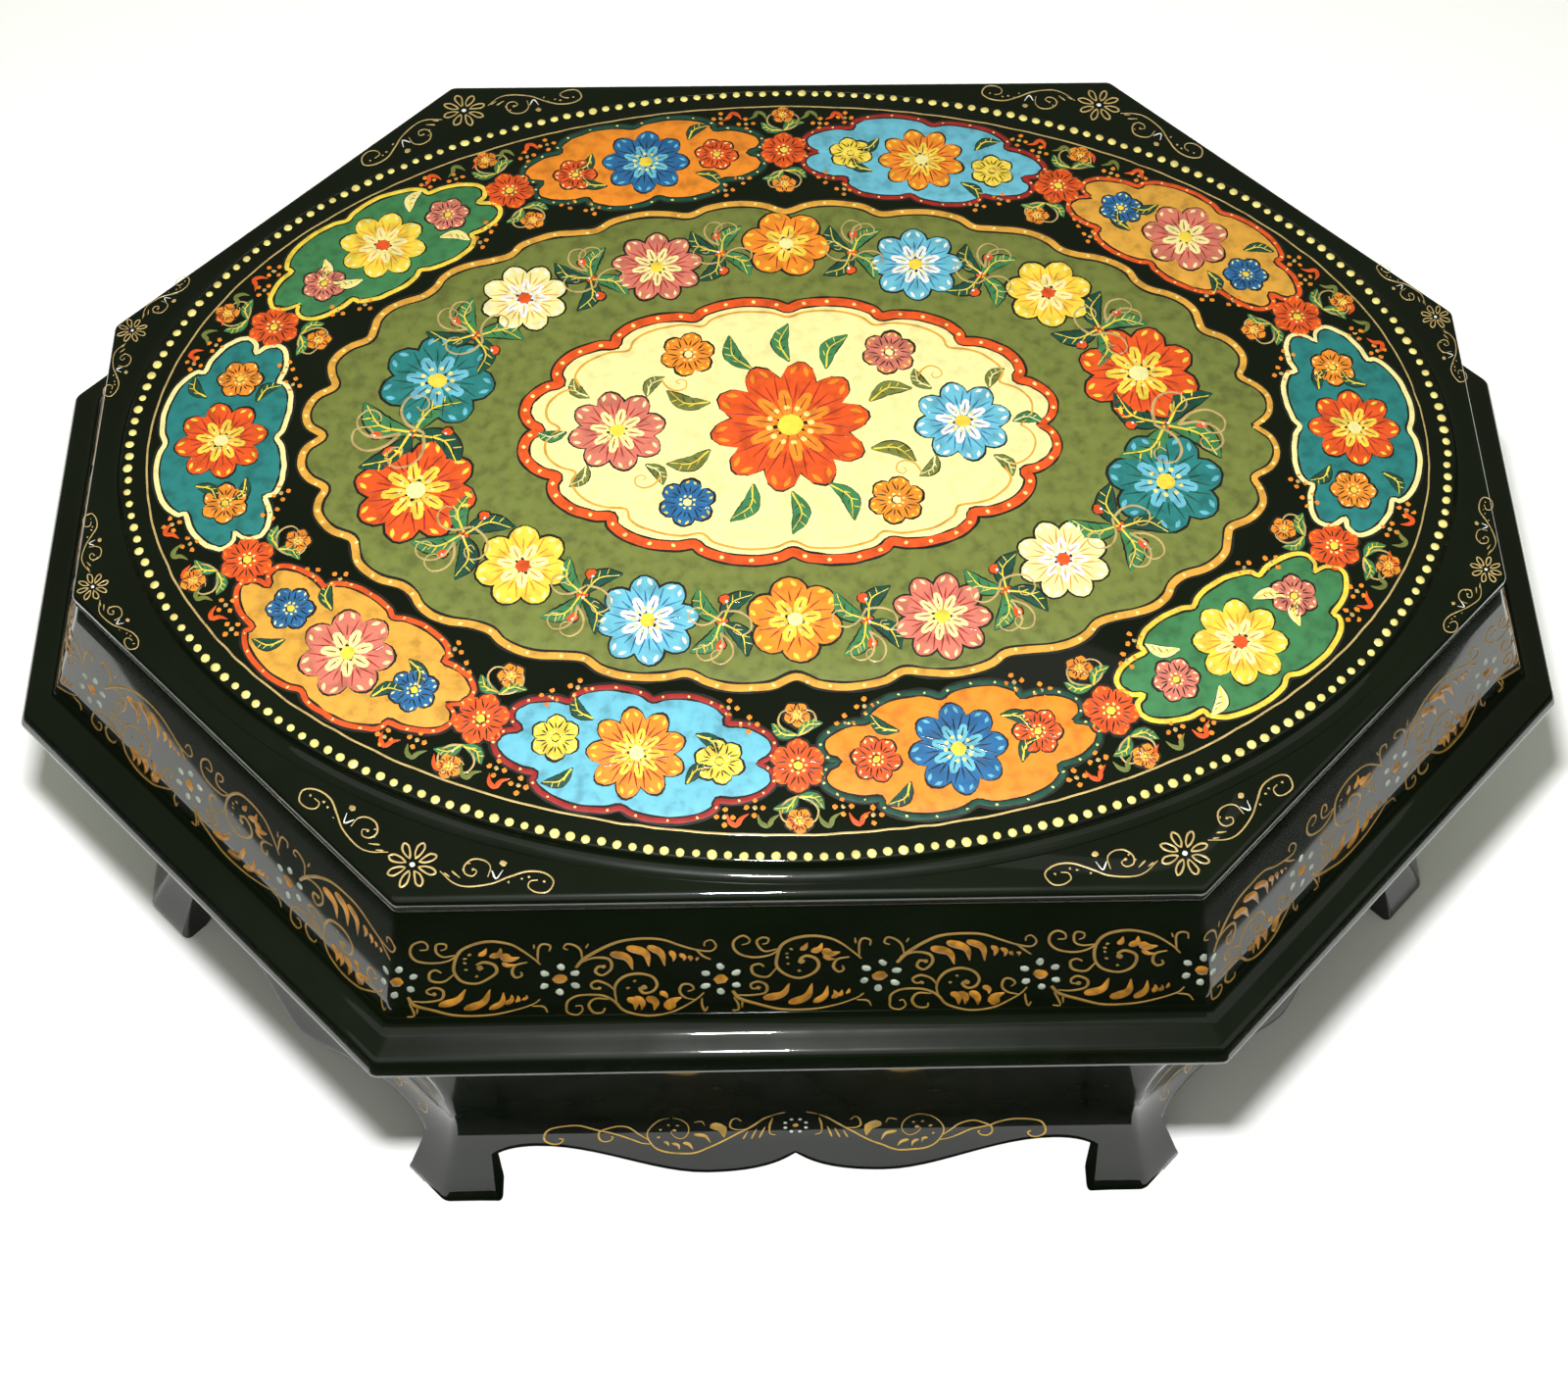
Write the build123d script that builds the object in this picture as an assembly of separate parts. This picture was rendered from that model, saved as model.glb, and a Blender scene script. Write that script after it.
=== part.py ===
from build123d import *
import math
import os

# Octagonal lid outline, seen from above. The front faces -Y.
LID_LENGTH = 240.0
LID_WIDTH = 170.8
CORNER_CUT = 57.0

# Heights of the courses, from the floor up.
STAND_HEIGHT = 81.0
PLINTH_HEIGHT = 7.0
FRIEZE_HEIGHT = 22.0
SEAM_GAP = 0.2
LID_PLATE_THICKNESS = 3.4

# How far each course stands out past the lid outline.
FRIEZE_SPREAD = 8.5
FRIEZE_TOP_INSET = 0.4
PLINTH_SPREAD = 16.0
STAND_SPREAD = 12.0
WAIST_SPREAD = 2.5
TOE_SPREAD = 12.5

# Walls, measured inward from the lid outline, and the floor they carry.
WALL_INSET = 8.0
LINING_THICKNESS = 3.0
LEDGE_HEIGHT = 30.0
LEDGE_WIDTH = 4.0
LEDGE_DEPTH = 4.0
FLOOR_THICKNESS = 4.0

# Plinth moulding: softened lower arris, fillet with a rounded nose, a bead, then a cove.
ARRIS_RADIUS = 0.5
NOSE_HEIGHT = 4.0
NOSE_RADIUS = 1.6
QUIRK_WIDTH = 0.8
BEAD_RADIUS = 1.2
PLINTH_COVE_SHARES = ((0.15, 0.55), (0.55, 0.85))

# Cabriole stand: toe, narrow waist and flare.
WAIST_HEIGHT = 22.0
TOE_LAND = 1.5
TOE_THICKNESS = 6.0
TOE_CURVE_SHARES = ((0.35, 0.29), (1.0, 0.51))
FLARE_CURVE_SHARES = ((0.0, 0.27), (0.37, 0.64))
INNER_CURVE_SHARES = ((0.41, 0.15), (0.46, 0.54))

# Scalloped lower edge of the stand, between the half feet.
FOOT_WIDTH = 9.5
ARCH_SPRING = 8.5
ARCH_HEIGHT = 12.4
ARCH_REACH = 9.0
LOBE_HEIGHT = 5.9
LOBE_PLACE = 17.0
CUSP_HEIGHT = 9.8
PENDANT_HEIGHT = 5.0
ARCH_CURVE_SHARES = ((0.0, 0.6), (0.45, 1.0))
LOBE_CURVE_SHARES = ((0.33, 0.0), (0.67, 1.0))
CUSP_CURVE_SHARES = ((0.47, 0.0), (0.8, 0.33))
PENDANT_CURVE_SHARES = ((0.33, 0.04), (0.81, 1.0))

# Lid edge, and the oval panel that rises from the lid through a cove.
LIP_HEIGHT = 0.9
LIP_STEP = 0.6
LID_EDGE_RADIUS = 2.2
PANEL_MARGIN = 2.4
PANEL_STEP = 0.3
COVE_WIDTH = 3.2
COVE_HEIGHT = 1.6
COVE_CURVE_SHARES = ((0.0, 0.55), (0.45, 1.0))
PANEL_NOSE_RADIUS = 0.8
DOME_RISE = 3.7

# Underside of the lid: an oval hollow, and a rim that drops inside the walls.
HOLLOW_MARGIN = 3.4
HOLLOW_RISE = 2.4
RIM_CLEARANCE = 0.5
RIM_THICKNESS = 4.0
RIM_DEPTH = 5.0

# Brass butt hinges on the back: small barrels below the seam, hidden from above.
HINGE_END_MARGIN = 13.0
HINGE_LENGTH = 24.0
LEAF_WIDTH = 6.5
LEAF_THICKNESS = 0.6
LEAF_FIT = 0.05
KNUCKLE_RADIUS = 1.1
KNUCKLE_GAP = 0.3
BARREL_CLEARANCE = 0.3
PIN_RADIUS = 0.55
PIN_CLEARANCE = 0.05
PIN_OVERHANG = 0.4
PIN_CHAMFER = 0.15

# Countersunk hinge screws.
SCREW_INSET = 3.6
SCREW_SPACING = 8.0
SCREWS_PER_LEAF = 3
SCREW_HEAD_RADIUS = 1.15
SCREW_HEAD_DEPTH = 0.45
SCREW_SHANK_RADIUS = 0.6
CASE_SCREW_LENGTH = 6.0
LID_SCREW_COVER = 0.6
SCREW_CLEARANCE = 0.03

# Extra length of cutting bodies past the faces that they cut.
OVERRUN = 2.0

SIDES = (
    "front", "front_right", "right", "back_right",
    "back", "back_left", "left", "front_left",
)
LONG_SIDES = ("front", "back")
UP = Vector(0, 0, 1)

# Levels and places that follow from the sizes above.
floor_top = LEDGE_HEIGHT + FLOOR_THICKNESS
plinth_top = STAND_HEIGHT + PLINTH_HEIGHT
case_top = plinth_top + FRIEZE_HEIGHT
lid_bottom = case_top + SEAM_GAP
plate_top = lid_bottom + LID_PLATE_THICKNESS
lid_screw_length = LID_PLATE_THICKNESS - LID_SCREW_COVER
rim_spread = -WALL_INSET - LINING_THICKNESS - RIM_CLEARANCE

# Half axes of the oval panel: clear of the lid's long edges, ends and cut corners.
edge_half_length = LID_LENGTH / 2 - PANEL_MARGIN
edge_half_width = LID_WIDTH / 2 - PANEL_MARGIN
corner_reach = (LID_LENGTH + LID_WIDTH) / 2 - CORNER_CUT - PANEL_MARGIN * math.sqrt(2)
corner_fit = min(1, corner_reach / math.hypot(edge_half_length, edge_half_width))
panel_half_length = edge_half_length * corner_fit
oval_ratio = edge_half_width / edge_half_length

# Half axes of the oval hollow under it, inside the rim that drops into the case.
hollow_half_width = LID_WIDTH / 2 + rim_spread - RIM_THICKNESS - HOLLOW_MARGIN
hollow_half_length = hollow_half_width / oval_ratio
back_face = LID_WIDTH / 2
hinge_y = back_face + BARREL_CLEARANCE + KNUCKLE_RADIUS
hinge_z = case_top - KNUCKLE_RADIUS
bore_radius = PIN_RADIUS + PIN_CLEARANCE
leaf_front = back_face - LEAF_WIDTH
barrel_front = hinge_y - KNUCKLE_RADIUS
leaf_back = barrel_front - KNUCKLE_GAP


def octagon(spread):
    """Corners of the lid outline moved outward by spread, from the front left one."""
    half_x = LID_LENGTH / 2 + spread
    half_y = LID_WIDTH / 2 + spread
    cut = CORNER_CUT + spread * (2 - math.sqrt(2))
    return [
        (cut - half_x, -half_y), (half_x - cut, -half_y),
        (half_x, cut - half_y), (half_x, half_y - cut),
        (half_x - cut, half_y), (cut - half_x, half_y),
        (-half_x, half_y - cut), (-half_x, cut - half_y),
    ]


def octagon_slab(spread, bottom, top):
    """Solid octagon between two levels."""
    outline = make_face(Polyline(*octagon(spread), close=True))
    return Pos(0, 0, bottom) * extrude(outline, amount=top - bottom)


def octagon_ring(spread, thickness, bottom, top):
    """Upright octagonal wall whose outer face is the lid outline moved by spread."""
    hollow = octagon_slab(spread - thickness, bottom - OVERRUN, top + OVERRUN)
    return octagon_slab(spread, bottom, top) - hollow


def side_ends(index, spread):
    """The two corners of one side at a given spread, counterclockwise."""
    corners = octagon(spread)
    return corners[index], corners[(index + 1) % len(corners)]


def side_frame(index):
    """Middle of one side of the lid outline, its direction and its outward normal."""
    start, end = (Vector(x, y, 0) for x, y in side_ends(index, 0))
    along = (end - start).normalized()
    return (start + end) / 2, along, Vector(along.Y, -along.X, 0)


def half_length(index, spread):
    """Half the length of one side at a given spread."""
    start, end = (Vector(x, y, 0) for x, y in side_ends(index, spread))
    return (end - start).length / 2


def curve(start, end, shares):
    """Bezier curve whose two handles are shares of the way from start to end."""
    handles = [
        (start[0] + across * (end[0] - start[0]), start[1] + up * (end[1] - start[1]))
        for across, up in shares
    ]
    return Bezier(start, *handles, end)


def mitred_board(index, edges, bottom, top):
    """Section of edges run along one side, with both ends cut to the mitre."""
    middle, along, outward = side_frame(index)
    section = Plane(origin=middle, x_dir=outward, z_dir=outward.cross(UP))
    run = extrude(section * make_face(edges), amount=half_length(index, PLINTH_SPREAD), both=True)
    inner_start, inner_end = side_ends(index, -WALL_INSET - LEDGE_WIDTH - OVERRUN)
    outer_start, outer_end = side_ends(index, PLINTH_SPREAD + OVERRUN)
    sector = make_face(Polyline(inner_start, outer_start, outer_end, inner_end, close=True))
    return run & Pos(0, 0, bottom) * extrude(sector, amount=top - bottom)


def frieze_board(index):
    """Sloping painted wall board between the plinth and the lid."""
    foot = (FRIEZE_SPREAD, plinth_top)
    head = (-FRIEZE_TOP_INSET, case_top)
    edges = Polyline(foot, head, (-WALL_INSET, case_top), (-WALL_INSET, plinth_top), close=True)
    board = mitred_board(index, edges, plinth_top, case_top)
    if SIDES[index] == "back":
        board -= leaf_gains(case_top - LEAF_THICKNESS, case_top + OVERRUN)
        board -= case_screws(SCREW_CLEARANCE)
    return board


def plinth_board(index):
    """Moulding that caps the stand: nose, quirk, bead and cove under the frieze."""
    nose_level = STAND_HEIGHT + NOSE_HEIGHT
    quirk = PLINTH_SPREAD - NOSE_RADIUS - QUIRK_WIDTH
    bead_top = (quirk - BEAD_RADIUS, nose_level + BEAD_RADIUS)
    foot = (FRIEZE_SPREAD, plinth_top)
    face_bottom = (PLINTH_SPREAD, STAND_HEIGHT + ARRIS_RADIUS)
    underside = PLINTH_SPREAD - ARRIS_RADIUS
    edges = [
        CenterArc((underside, face_bottom[1]), ARRIS_RADIUS, 270, 90),
        Line(face_bottom, (PLINTH_SPREAD, nose_level - NOSE_RADIUS)),
        CenterArc((PLINTH_SPREAD - NOSE_RADIUS, nose_level - NOSE_RADIUS), NOSE_RADIUS, 0, 90),
        Line((PLINTH_SPREAD - NOSE_RADIUS, nose_level), (quirk, nose_level)),
        CenterArc((quirk - BEAD_RADIUS, nose_level), BEAD_RADIUS, 0, 90),
        curve(bead_top, foot, PLINTH_COVE_SHARES),
        Polyline(
            foot, (-WALL_INSET, plinth_top), (-WALL_INSET, STAND_HEIGHT),
            (underside, STAND_HEIGHT),
        ),
    ]
    return mitred_board(index, edges, STAND_HEIGHT, plinth_top)


def apron_section():
    """Upright section of the stand: cabriole outside, ledge and hollow inside."""
    toe_top = (TOE_SPREAD, TOE_LAND)
    waist = (WAIST_SPREAD, WAIST_HEIGHT)
    flare_top = (STAND_SPREAD, STAND_HEIGHT)
    ledge = -WALL_INSET - LEDGE_WIDTH
    ledge_bottom = (ledge, LEDGE_HEIGHT - LEDGE_DEPTH)
    heel = (TOE_SPREAD - TOE_THICKNESS, 0)
    return [
        Polyline(heel, (TOE_SPREAD, 0), toe_top),
        curve(toe_top, waist, TOE_CURVE_SHARES),
        curve(waist, flare_top, FLARE_CURVE_SHARES),
        Polyline(
            flare_top, (-WALL_INSET, STAND_HEIGHT), (-WALL_INSET, LEDGE_HEIGHT),
            (ledge, LEDGE_HEIGHT), ledge_bottom,
        ),
        curve(ledge_bottom, heel, INNER_CURVE_SHARES),
    ]


def scallop(index):
    """Cutter for the lower edge of one apron: arches, lobes and cusp or pendant."""
    foot = half_length(index, TOE_SPREAD) - FOOT_WIDTH
    spring = (foot, ARCH_SPRING)
    peak = (foot - ARCH_REACH, ARCH_HEIGHT)
    edges = [Line((foot, -OVERRUN), spring), curve(spring, peak, ARCH_CURVE_SHARES)]
    if SIDES[index] in LONG_SIDES:
        lobe = (LOBE_PLACE, LOBE_HEIGHT)
        edges.append(curve(peak, lobe, LOBE_CURVE_SHARES))
        edges.append(curve(lobe, (0, CUSP_HEIGHT), CUSP_CURVE_SHARES))
    else:
        edges.append(curve(peak, (0, PENDANT_HEIGHT), PENDANT_CURVE_SHARES))
    edges += [mirror(edge, about=Plane.YZ) for edge in edges]
    edges.append(Line((-foot, -OVERRUN), (foot, -OVERRUN)))
    middle, along, outward = side_frame(index)
    elevation = Plane(origin=middle, x_dir=along, z_dir=outward)
    depth = TOE_SPREAD + WALL_INSET + LEDGE_WIDTH + OVERRUN
    return extrude(elevation * make_face(edges), amount=depth, both=True)


def apron_board(index):
    """One board of the stand with a half foot at each end."""
    return mitred_board(index, apron_section(), 0, STAND_HEIGHT) - scallop(index)


def case_lining():
    """Inner wall of the case, from the floor panel up to the seam."""
    return octagon_ring(-WALL_INSET, LINING_THICKNESS, floor_top, case_top)


def floor_panel():
    """Floor of the case, resting on the ledge of the stand boards."""
    return octagon_slab(-WALL_INSET, LEDGE_HEIGHT, floor_top)


def dome_arc(radius, rise, level):
    """Half of a shallow arc: from its edge at radius up to its middle, rise higher."""
    ball_radius = (radius ** 2 + rise ** 2) / (2 * rise)
    span = math.degrees(math.asin(radius / ball_radius))
    return CenterArc((0, level + rise - ball_radius), ball_radius, 90 - span, span)


def lid_plate():
    """Octagonal lid plate: rounded upper edge over a thin lip, oval hollow below."""
    upper = octagon_slab(-LIP_STEP, lid_bottom, plate_top)
    upper = fillet(upper.faces().sort_by(Axis.Z)[-1].edges(), LID_EDGE_RADIUS)
    plate = upper + octagon_slab(0, lid_bottom, lid_bottom + LIP_HEIGHT)
    oval = Ellipse(hollow_half_length, hollow_half_width)
    depth = LID_PLATE_THICKNESS + OVERRUN
    plate -= Pos(0, 0, lid_bottom) * extrude(oval, amount=depth, both=True)
    plate -= leaf_gains(lid_bottom - OVERRUN, lid_bottom + LEAF_THICKNESS)
    return plate - lid_screws(SCREW_CLEARANCE)


def lid_oval_panel():
    """Raised oval of the lid: step, concave cove, rounded nose and shallow dome.

    It is turned as a round panel and then narrowed across the box.
    """
    foot = panel_half_length
    cove_foot = (foot, plate_top + PANEL_STEP)
    cove_top = (foot - COVE_WIDTH, plate_top + PANEL_STEP + COVE_HEIGHT)
    dome_radius = foot - COVE_WIDTH - PANEL_NOSE_RADIUS
    dome_level = cove_top[1] + PANEL_NOSE_RADIUS
    edges = [
        Line((hollow_half_length, plate_top), (foot, plate_top)),
        Line((foot, plate_top), cove_foot),
        curve(cove_top, cove_foot, COVE_CURVE_SHARES),
        CenterArc((dome_radius, cove_top[1]), PANEL_NOSE_RADIUS, 0, 90),
        dome_arc(dome_radius, DOME_RISE, dome_level),
        Line((0, dome_level + DOME_RISE), (0, plate_top + HOLLOW_RISE)),
        dome_arc(hollow_half_length, HOLLOW_RISE, plate_top),
    ]
    turned = revolve(Plane.XZ * make_face(edges), axis=Axis.Z)
    return scale(turned, by=(1, oval_ratio, 1))


def lid_inner_rim():
    """Frame under the lid that drops inside the case lining."""
    return octagon_ring(rim_spread, RIM_THICKNESS, lid_bottom - RIM_DEPTH, lid_bottom)


def block(low, high):
    """Box between two corners."""
    size = [high[axis] - low[axis] for axis in range(3)]
    return Pos(*low) * Box(*size, align=(Align.MIN, Align.MIN, Align.MIN))


def hinge_places():
    """Middle of each hinge along the back, left one first."""
    back_end = LID_LENGTH / 2 - CORNER_CUT
    reach = back_end - HINGE_END_MARGIN - HINGE_LENGTH / 2
    return (-reach, reach)


def leaf_gains(bottom, top):
    """Shallow recesses that let the two leaves lie flush, between two levels."""
    reach = HINGE_LENGTH / 2 + LEAF_FIT
    low_y = leaf_front - LEAF_FIT
    gains = [
        block((x - reach, low_y, bottom), (x + reach, back_face + OVERRUN, top))
        for x in hinge_places()
    ]
    return gains[0] + gains[1]


def screw(length, clearance):
    """Countersunk screw, head up, with its top at the origin."""
    cone_bottom = -SCREW_HEAD_DEPTH - clearance
    cone = Cone(
        SCREW_SHANK_RADIUS + clearance, SCREW_HEAD_RADIUS + clearance, -cone_bottom,
        align=(Align.CENTER, Align.CENTER, Align.MIN),
    )
    shank = Cylinder(
        SCREW_SHANK_RADIUS + clearance, length + clearance,
        align=(Align.CENTER, Align.CENTER, Align.MAX),
    )
    return Pos(0, 0, cone_bottom) * cone + shank


def screw_places(hinge_x):
    """Screw positions of one leaf along the back."""
    middle = (SCREWS_PER_LEAF - 1) / 2
    return [hinge_x + (number - middle) * SCREW_SPACING for number in range(SCREWS_PER_LEAF)]


def screw_row(turned, level, length, clearance):
    """All screws that hold one set of leaves, as separate solids."""
    y = back_face - SCREW_INSET
    return [
        Pos(x, y, level) * turned * screw(length, clearance)
        for hinge_x in hinge_places() for x in screw_places(hinge_x)
    ]


def case_screws(clearance=0):
    """Screws of the lower leaves, heads flush with the top of the case."""
    return Compound(children=screw_row(Rot(0, 0, 0), case_top, CASE_SCREW_LENGTH, clearance))


def lid_screws(clearance=0):
    """Screws of the upper leaves, heads flush with the underside of the lid."""
    return Compound(children=screw_row(Rot(180, 0, 0), lid_bottom, lid_screw_length, clearance))


def barrel(x, start, end, radius):
    """Cylinder about the hinge axis between two places along the back."""
    middle = x + (start + end) / 2
    return Pos(middle, hinge_y, hinge_z) * Rot(0, 90, 0) * Cylinder(radius, end - start)


def leaf(x, bottom, knuckles):
    """Leaf of one hinge with the knuckles that belong to it."""
    reach = HINGE_LENGTH / 2
    top = bottom + LEAF_THICKNESS
    wrap = hinge_y - KNUCKLE_RADIUS / 2
    body = block((x - reach, leaf_front, bottom), (x + reach, leaf_back, top))
    for start, end in knuckles:
        body += block((x + start, leaf_back, bottom), (x + end, wrap, top))
        body += block((x + start, barrel_front, hinge_z), (x + end, wrap, top))
        body += barrel(x, start, end, KNUCKLE_RADIUS)
    return body - barrel(x, -reach - OVERRUN, reach + OVERRUN, bore_radius)


def knuckle_spans():
    """The three stretches of a barrel: case, lid, case."""
    length = (HINGE_LENGTH - 2 * KNUCKLE_GAP) / 3
    starts = [-HINGE_LENGTH / 2 + number * (length + KNUCKLE_GAP) for number in range(3)]
    return [(start, start + length) for start in starts]


def case_leaf(x):
    """Lower leaf, let into the top of the back frieze board."""
    spans = knuckle_spans()
    plain = leaf(x, case_top - LEAF_THICKNESS, [spans[0], spans[2]])
    return plain - case_screws(SCREW_CLEARANCE)


def lid_leaf(x):
    """Upper leaf, let into the underside of the lid plate."""
    plain = leaf(x, lid_bottom, [knuckle_spans()[1]])
    return plain - lid_screws(SCREW_CLEARANCE)


def hinge_pin(x):
    """Pin through the three knuckles, chamfered at both ends."""
    reach = HINGE_LENGTH / 2 + PIN_OVERHANG
    pin = barrel(x, -reach, reach, PIN_RADIUS)
    return chamfer(pin.edges().filter_by(GeomType.CIRCLE), PIN_CHAMFER)


def all_pieces():
    """Every sub-part by its node name."""
    pieces = {"case_lining": case_lining(), "floor_panel": floor_panel()}
    for index, side in enumerate(SIDES):
        pieces["apron_" + side] = apron_board(index)
        pieces["plinth_" + side] = plinth_board(index)
        pieces["frieze_" + side] = frieze_board(index)
    pieces["lid_plate"] = lid_plate()
    pieces["lid_oval_panel"] = lid_oval_panel()
    pieces["lid_inner_rim"] = lid_inner_rim()
    for hand, x in zip(("left", "right"), hinge_places()):
        pieces["hinge_case_leaf_" + hand] = case_leaf(x)
        pieces["hinge_lid_leaf_" + hand] = lid_leaf(x)
        pieces["hinge_pin_" + hand] = hinge_pin(x)
    pieces["hinge_case_screws"] = case_screws()
    pieces["hinge_lid_screws"] = lid_screws()
    return pieces


os.makedirs("parts", exist_ok=True)
for node, shape in all_pieces().items():
    export_step(shape, "parts/" + node + ".step")
    print(node, "solids", len(shape.solids()), "volume", round(shape.volume, 1))
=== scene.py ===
"""Black lacquer casket on a footed stand, with gold scrollwork and a painted oval lid.

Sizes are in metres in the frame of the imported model; MM turns millimetres into metres.
Brush strokes are in millimetres of the sheet that they are laid on.
"""
import logging
import math
import random
from collections.abc import Callable, Sequence
from dataclasses import dataclass, field
from enum import Enum
from typing import Protocol

import bmesh
import bpy
import numpy as np
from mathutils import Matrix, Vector


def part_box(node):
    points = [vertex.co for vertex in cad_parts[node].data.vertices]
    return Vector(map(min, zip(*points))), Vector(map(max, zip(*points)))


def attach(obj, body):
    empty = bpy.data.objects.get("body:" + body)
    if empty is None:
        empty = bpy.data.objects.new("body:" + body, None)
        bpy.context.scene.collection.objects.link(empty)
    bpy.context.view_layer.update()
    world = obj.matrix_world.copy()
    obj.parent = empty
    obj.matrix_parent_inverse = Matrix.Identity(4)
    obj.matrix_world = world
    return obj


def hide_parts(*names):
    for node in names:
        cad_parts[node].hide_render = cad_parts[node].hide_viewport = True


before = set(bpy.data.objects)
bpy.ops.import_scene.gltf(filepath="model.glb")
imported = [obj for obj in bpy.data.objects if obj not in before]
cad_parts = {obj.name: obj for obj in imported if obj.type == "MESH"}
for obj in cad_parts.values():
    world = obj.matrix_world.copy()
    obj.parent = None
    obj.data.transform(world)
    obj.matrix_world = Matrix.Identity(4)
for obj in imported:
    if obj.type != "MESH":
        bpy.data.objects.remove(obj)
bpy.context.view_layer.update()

logging.basicConfig(level=logging.INFO, format="%(message)s")
LOG = logging.getLogger("casket")

MM = 0.001
CORNERS = 8
PHOTO_SIZE = (1600, 1418)

# What a side's half length and the corner cut gain with each metre of spread
MITRE_GROWTH = math.tan(math.radians(22.5))
CUT_GROWTH = 2 - math.sqrt(2)

# Tolerances, in metres
MITRE_MATCH = 2e-6
LEVEL_MATCH = 1e-6
SPREAD_MATCH = 1e-9

MITRE_MARGIN = 1.0 * MM
GAIN_FIT = 0.05 * MM
GAIN_DEPTH = 0.6 * MM
ARRIS_STEPS = 5
NOISE_MIDDLE = (0.33, 0.67)

# Paint before it is draped, in millimetres, and the shading angle of paint in degrees
PAINT_UNDERSIDE = -0.004
PAINT_SINK = 0.03
PAINT_ANGLE = 60.0

Pair = tuple[float, float]
Triple = tuple[float, float, float]
Colour = Triple
Handles = tuple[Pair, Pair]
Piece = bpy.types.Object
Socket = bpy.types.NodeSocket


# Finishes


class Nodes:
    """Small builder for the node tree of a material or a world."""

    def __init__(self, owner: bpy.types.Material | bpy.types.World) -> None:
        """Starts an empty node tree.

        Args:
            owner: Material or world that the tree belongs to.
        """
        owner.use_nodes = True
        self.owner = owner
        self.tree = owner.node_tree
        self.tree.nodes.clear()

    def add(self, kind: str, **inputs: object) -> bpy.types.Node:
        """Adds a node and sets or links its inputs.

        Args:
            kind: Node type without its ShaderNode prefix.
            **inputs: Socket names with underscores for blanks, and their values or sources.

        Returns:
            The new node.
        """
        node = self.tree.nodes.new("ShaderNode" + kind)
        for key, value in inputs.items():
            socket = node.inputs[key.replace("_", " ")]
            if isinstance(value, Socket):
                self.tree.links.new(value, socket)
            else:
                socket.default_value = value
        return node

    def join(self, kind: str, *sources: Socket, operation: str = "") -> Socket:
        """Adds a node whose inputs are linked in their order, and returns its first output."""
        node = self.add(kind)
        if operation:
            node.operation = operation
        for socket, source in zip(node.inputs, sources):
            self.tree.links.new(source, socket)
        return node.outputs[0]

    def noise(self, scale: float, detail: float) -> Socket:
        """Noise over the object's own coordinates.

        Args:
            scale: Number of features to the metre.
            detail: Octaves of the noise.

        Returns:
            The noise value socket.
        """
        place = self.add("TexCoord").outputs["Object"]
        return self.add("TexNoise", Vector=place, Scale=scale, Detail=detail).outputs["Fac"]

    def ramp(self, source: Socket, stops: Sequence[tuple]) -> Socket:
        """Colour ramp over a value.

        Args:
            source: Value from 0 to 1.
            stops: Pairs of position and colour.

        Returns:
            The colour socket.
        """
        node = self.add("ValToRGB", Fac=source)
        elements = node.color_ramp.elements
        while len(elements) < len(stops):
            elements.new(1.0)
        for element, (position, colour) in zip(elements, stops):
            element.position = position
            element.color = (*colour, 1.0)
        return node.outputs["Color"]

    def span(self, source: Socket, low: float, high: float) -> Socket:
        """Value spread between two limits as a noise runs through its middle third."""
        start, end = NOISE_MIDDLE
        node = self.add("MapRange", Value=source, From_Min=start, From_Max=end, To_Min=low, To_Max=high)
        return node.outputs["Result"]

    def bump(self, height: Socket, depth: float,
             under: Socket | None = None) -> Socket:
        """Bump from a height value.

        Args:
            height: Height from 0 to 1.
            depth: Depth of the relief in metres.
            under: Normal of a coarser bump below this one.

        Returns:
            The normal socket.
        """
        node = self.add("Bump", Height=height, Distance=depth)
        if under is not None:
            self.tree.links.new(under, node.inputs["Normal"])
        return node.outputs["Normal"]

    def close(self, output: str, shader: Socket) -> bpy.types.Material | bpy.types.World:
        """Joins the shader to an output node and returns the owner of the tree."""
        self.add(output, Surface=shader)
        return self.owner


def tinted(colour: Colour, factor: float) -> Colour:
    """Colour made lighter or darker by a factor, kept below full white."""
    return tuple(min(0.95, part * factor) for part in colour)


@dataclass(frozen=True)
class Lacquer:
    """Polished oil lacquer: nearly flat, with faint waves and a fine grain.

    Clouds, waves, grain and wear are noises, each as its scale to the metre and its octaves.
    """

    name: str
    colour: Colour
    lift: float = 1.7
    roughness: Pair = (0.28, 0.42)
    wave_depth: float = 2.2e-5
    grain_depth: float = 1.2e-7
    coat_roughness: float = 0.035
    specular: float = 0.08
    clouds: Pair = (34.0, 4.0)
    waves: Pair = (26.0, 1.5)
    grain: Pair = (2600.0, 2.0)
    wear: Pair = (90.0, 5.0)

    def material(self) -> bpy.types.Material:
        """Builds the lacquer material."""
        kit = Nodes(bpy.data.materials.new(self.name))
        stops = ((0.3, self.colour), (0.75, tinted(self.colour, self.lift)))
        base = kit.ramp(kit.noise(*self.clouds), stops)
        waves = kit.bump(kit.noise(*self.waves), self.wave_depth)
        surface = kit.bump(kit.noise(*self.grain), self.grain_depth, waves)
        shader = kit.add("BsdfPrincipled", Base_Color=base, Normal=surface, Coat_Normal=surface,
                         Roughness=kit.span(kit.noise(*self.wear), *self.roughness), Coat_Weight=1.0,
                         Coat_Roughness=self.coat_roughness, Specular_IOR_Level=self.specular)
        return kit.close("OutputMaterial", shader.outputs[0])


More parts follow.
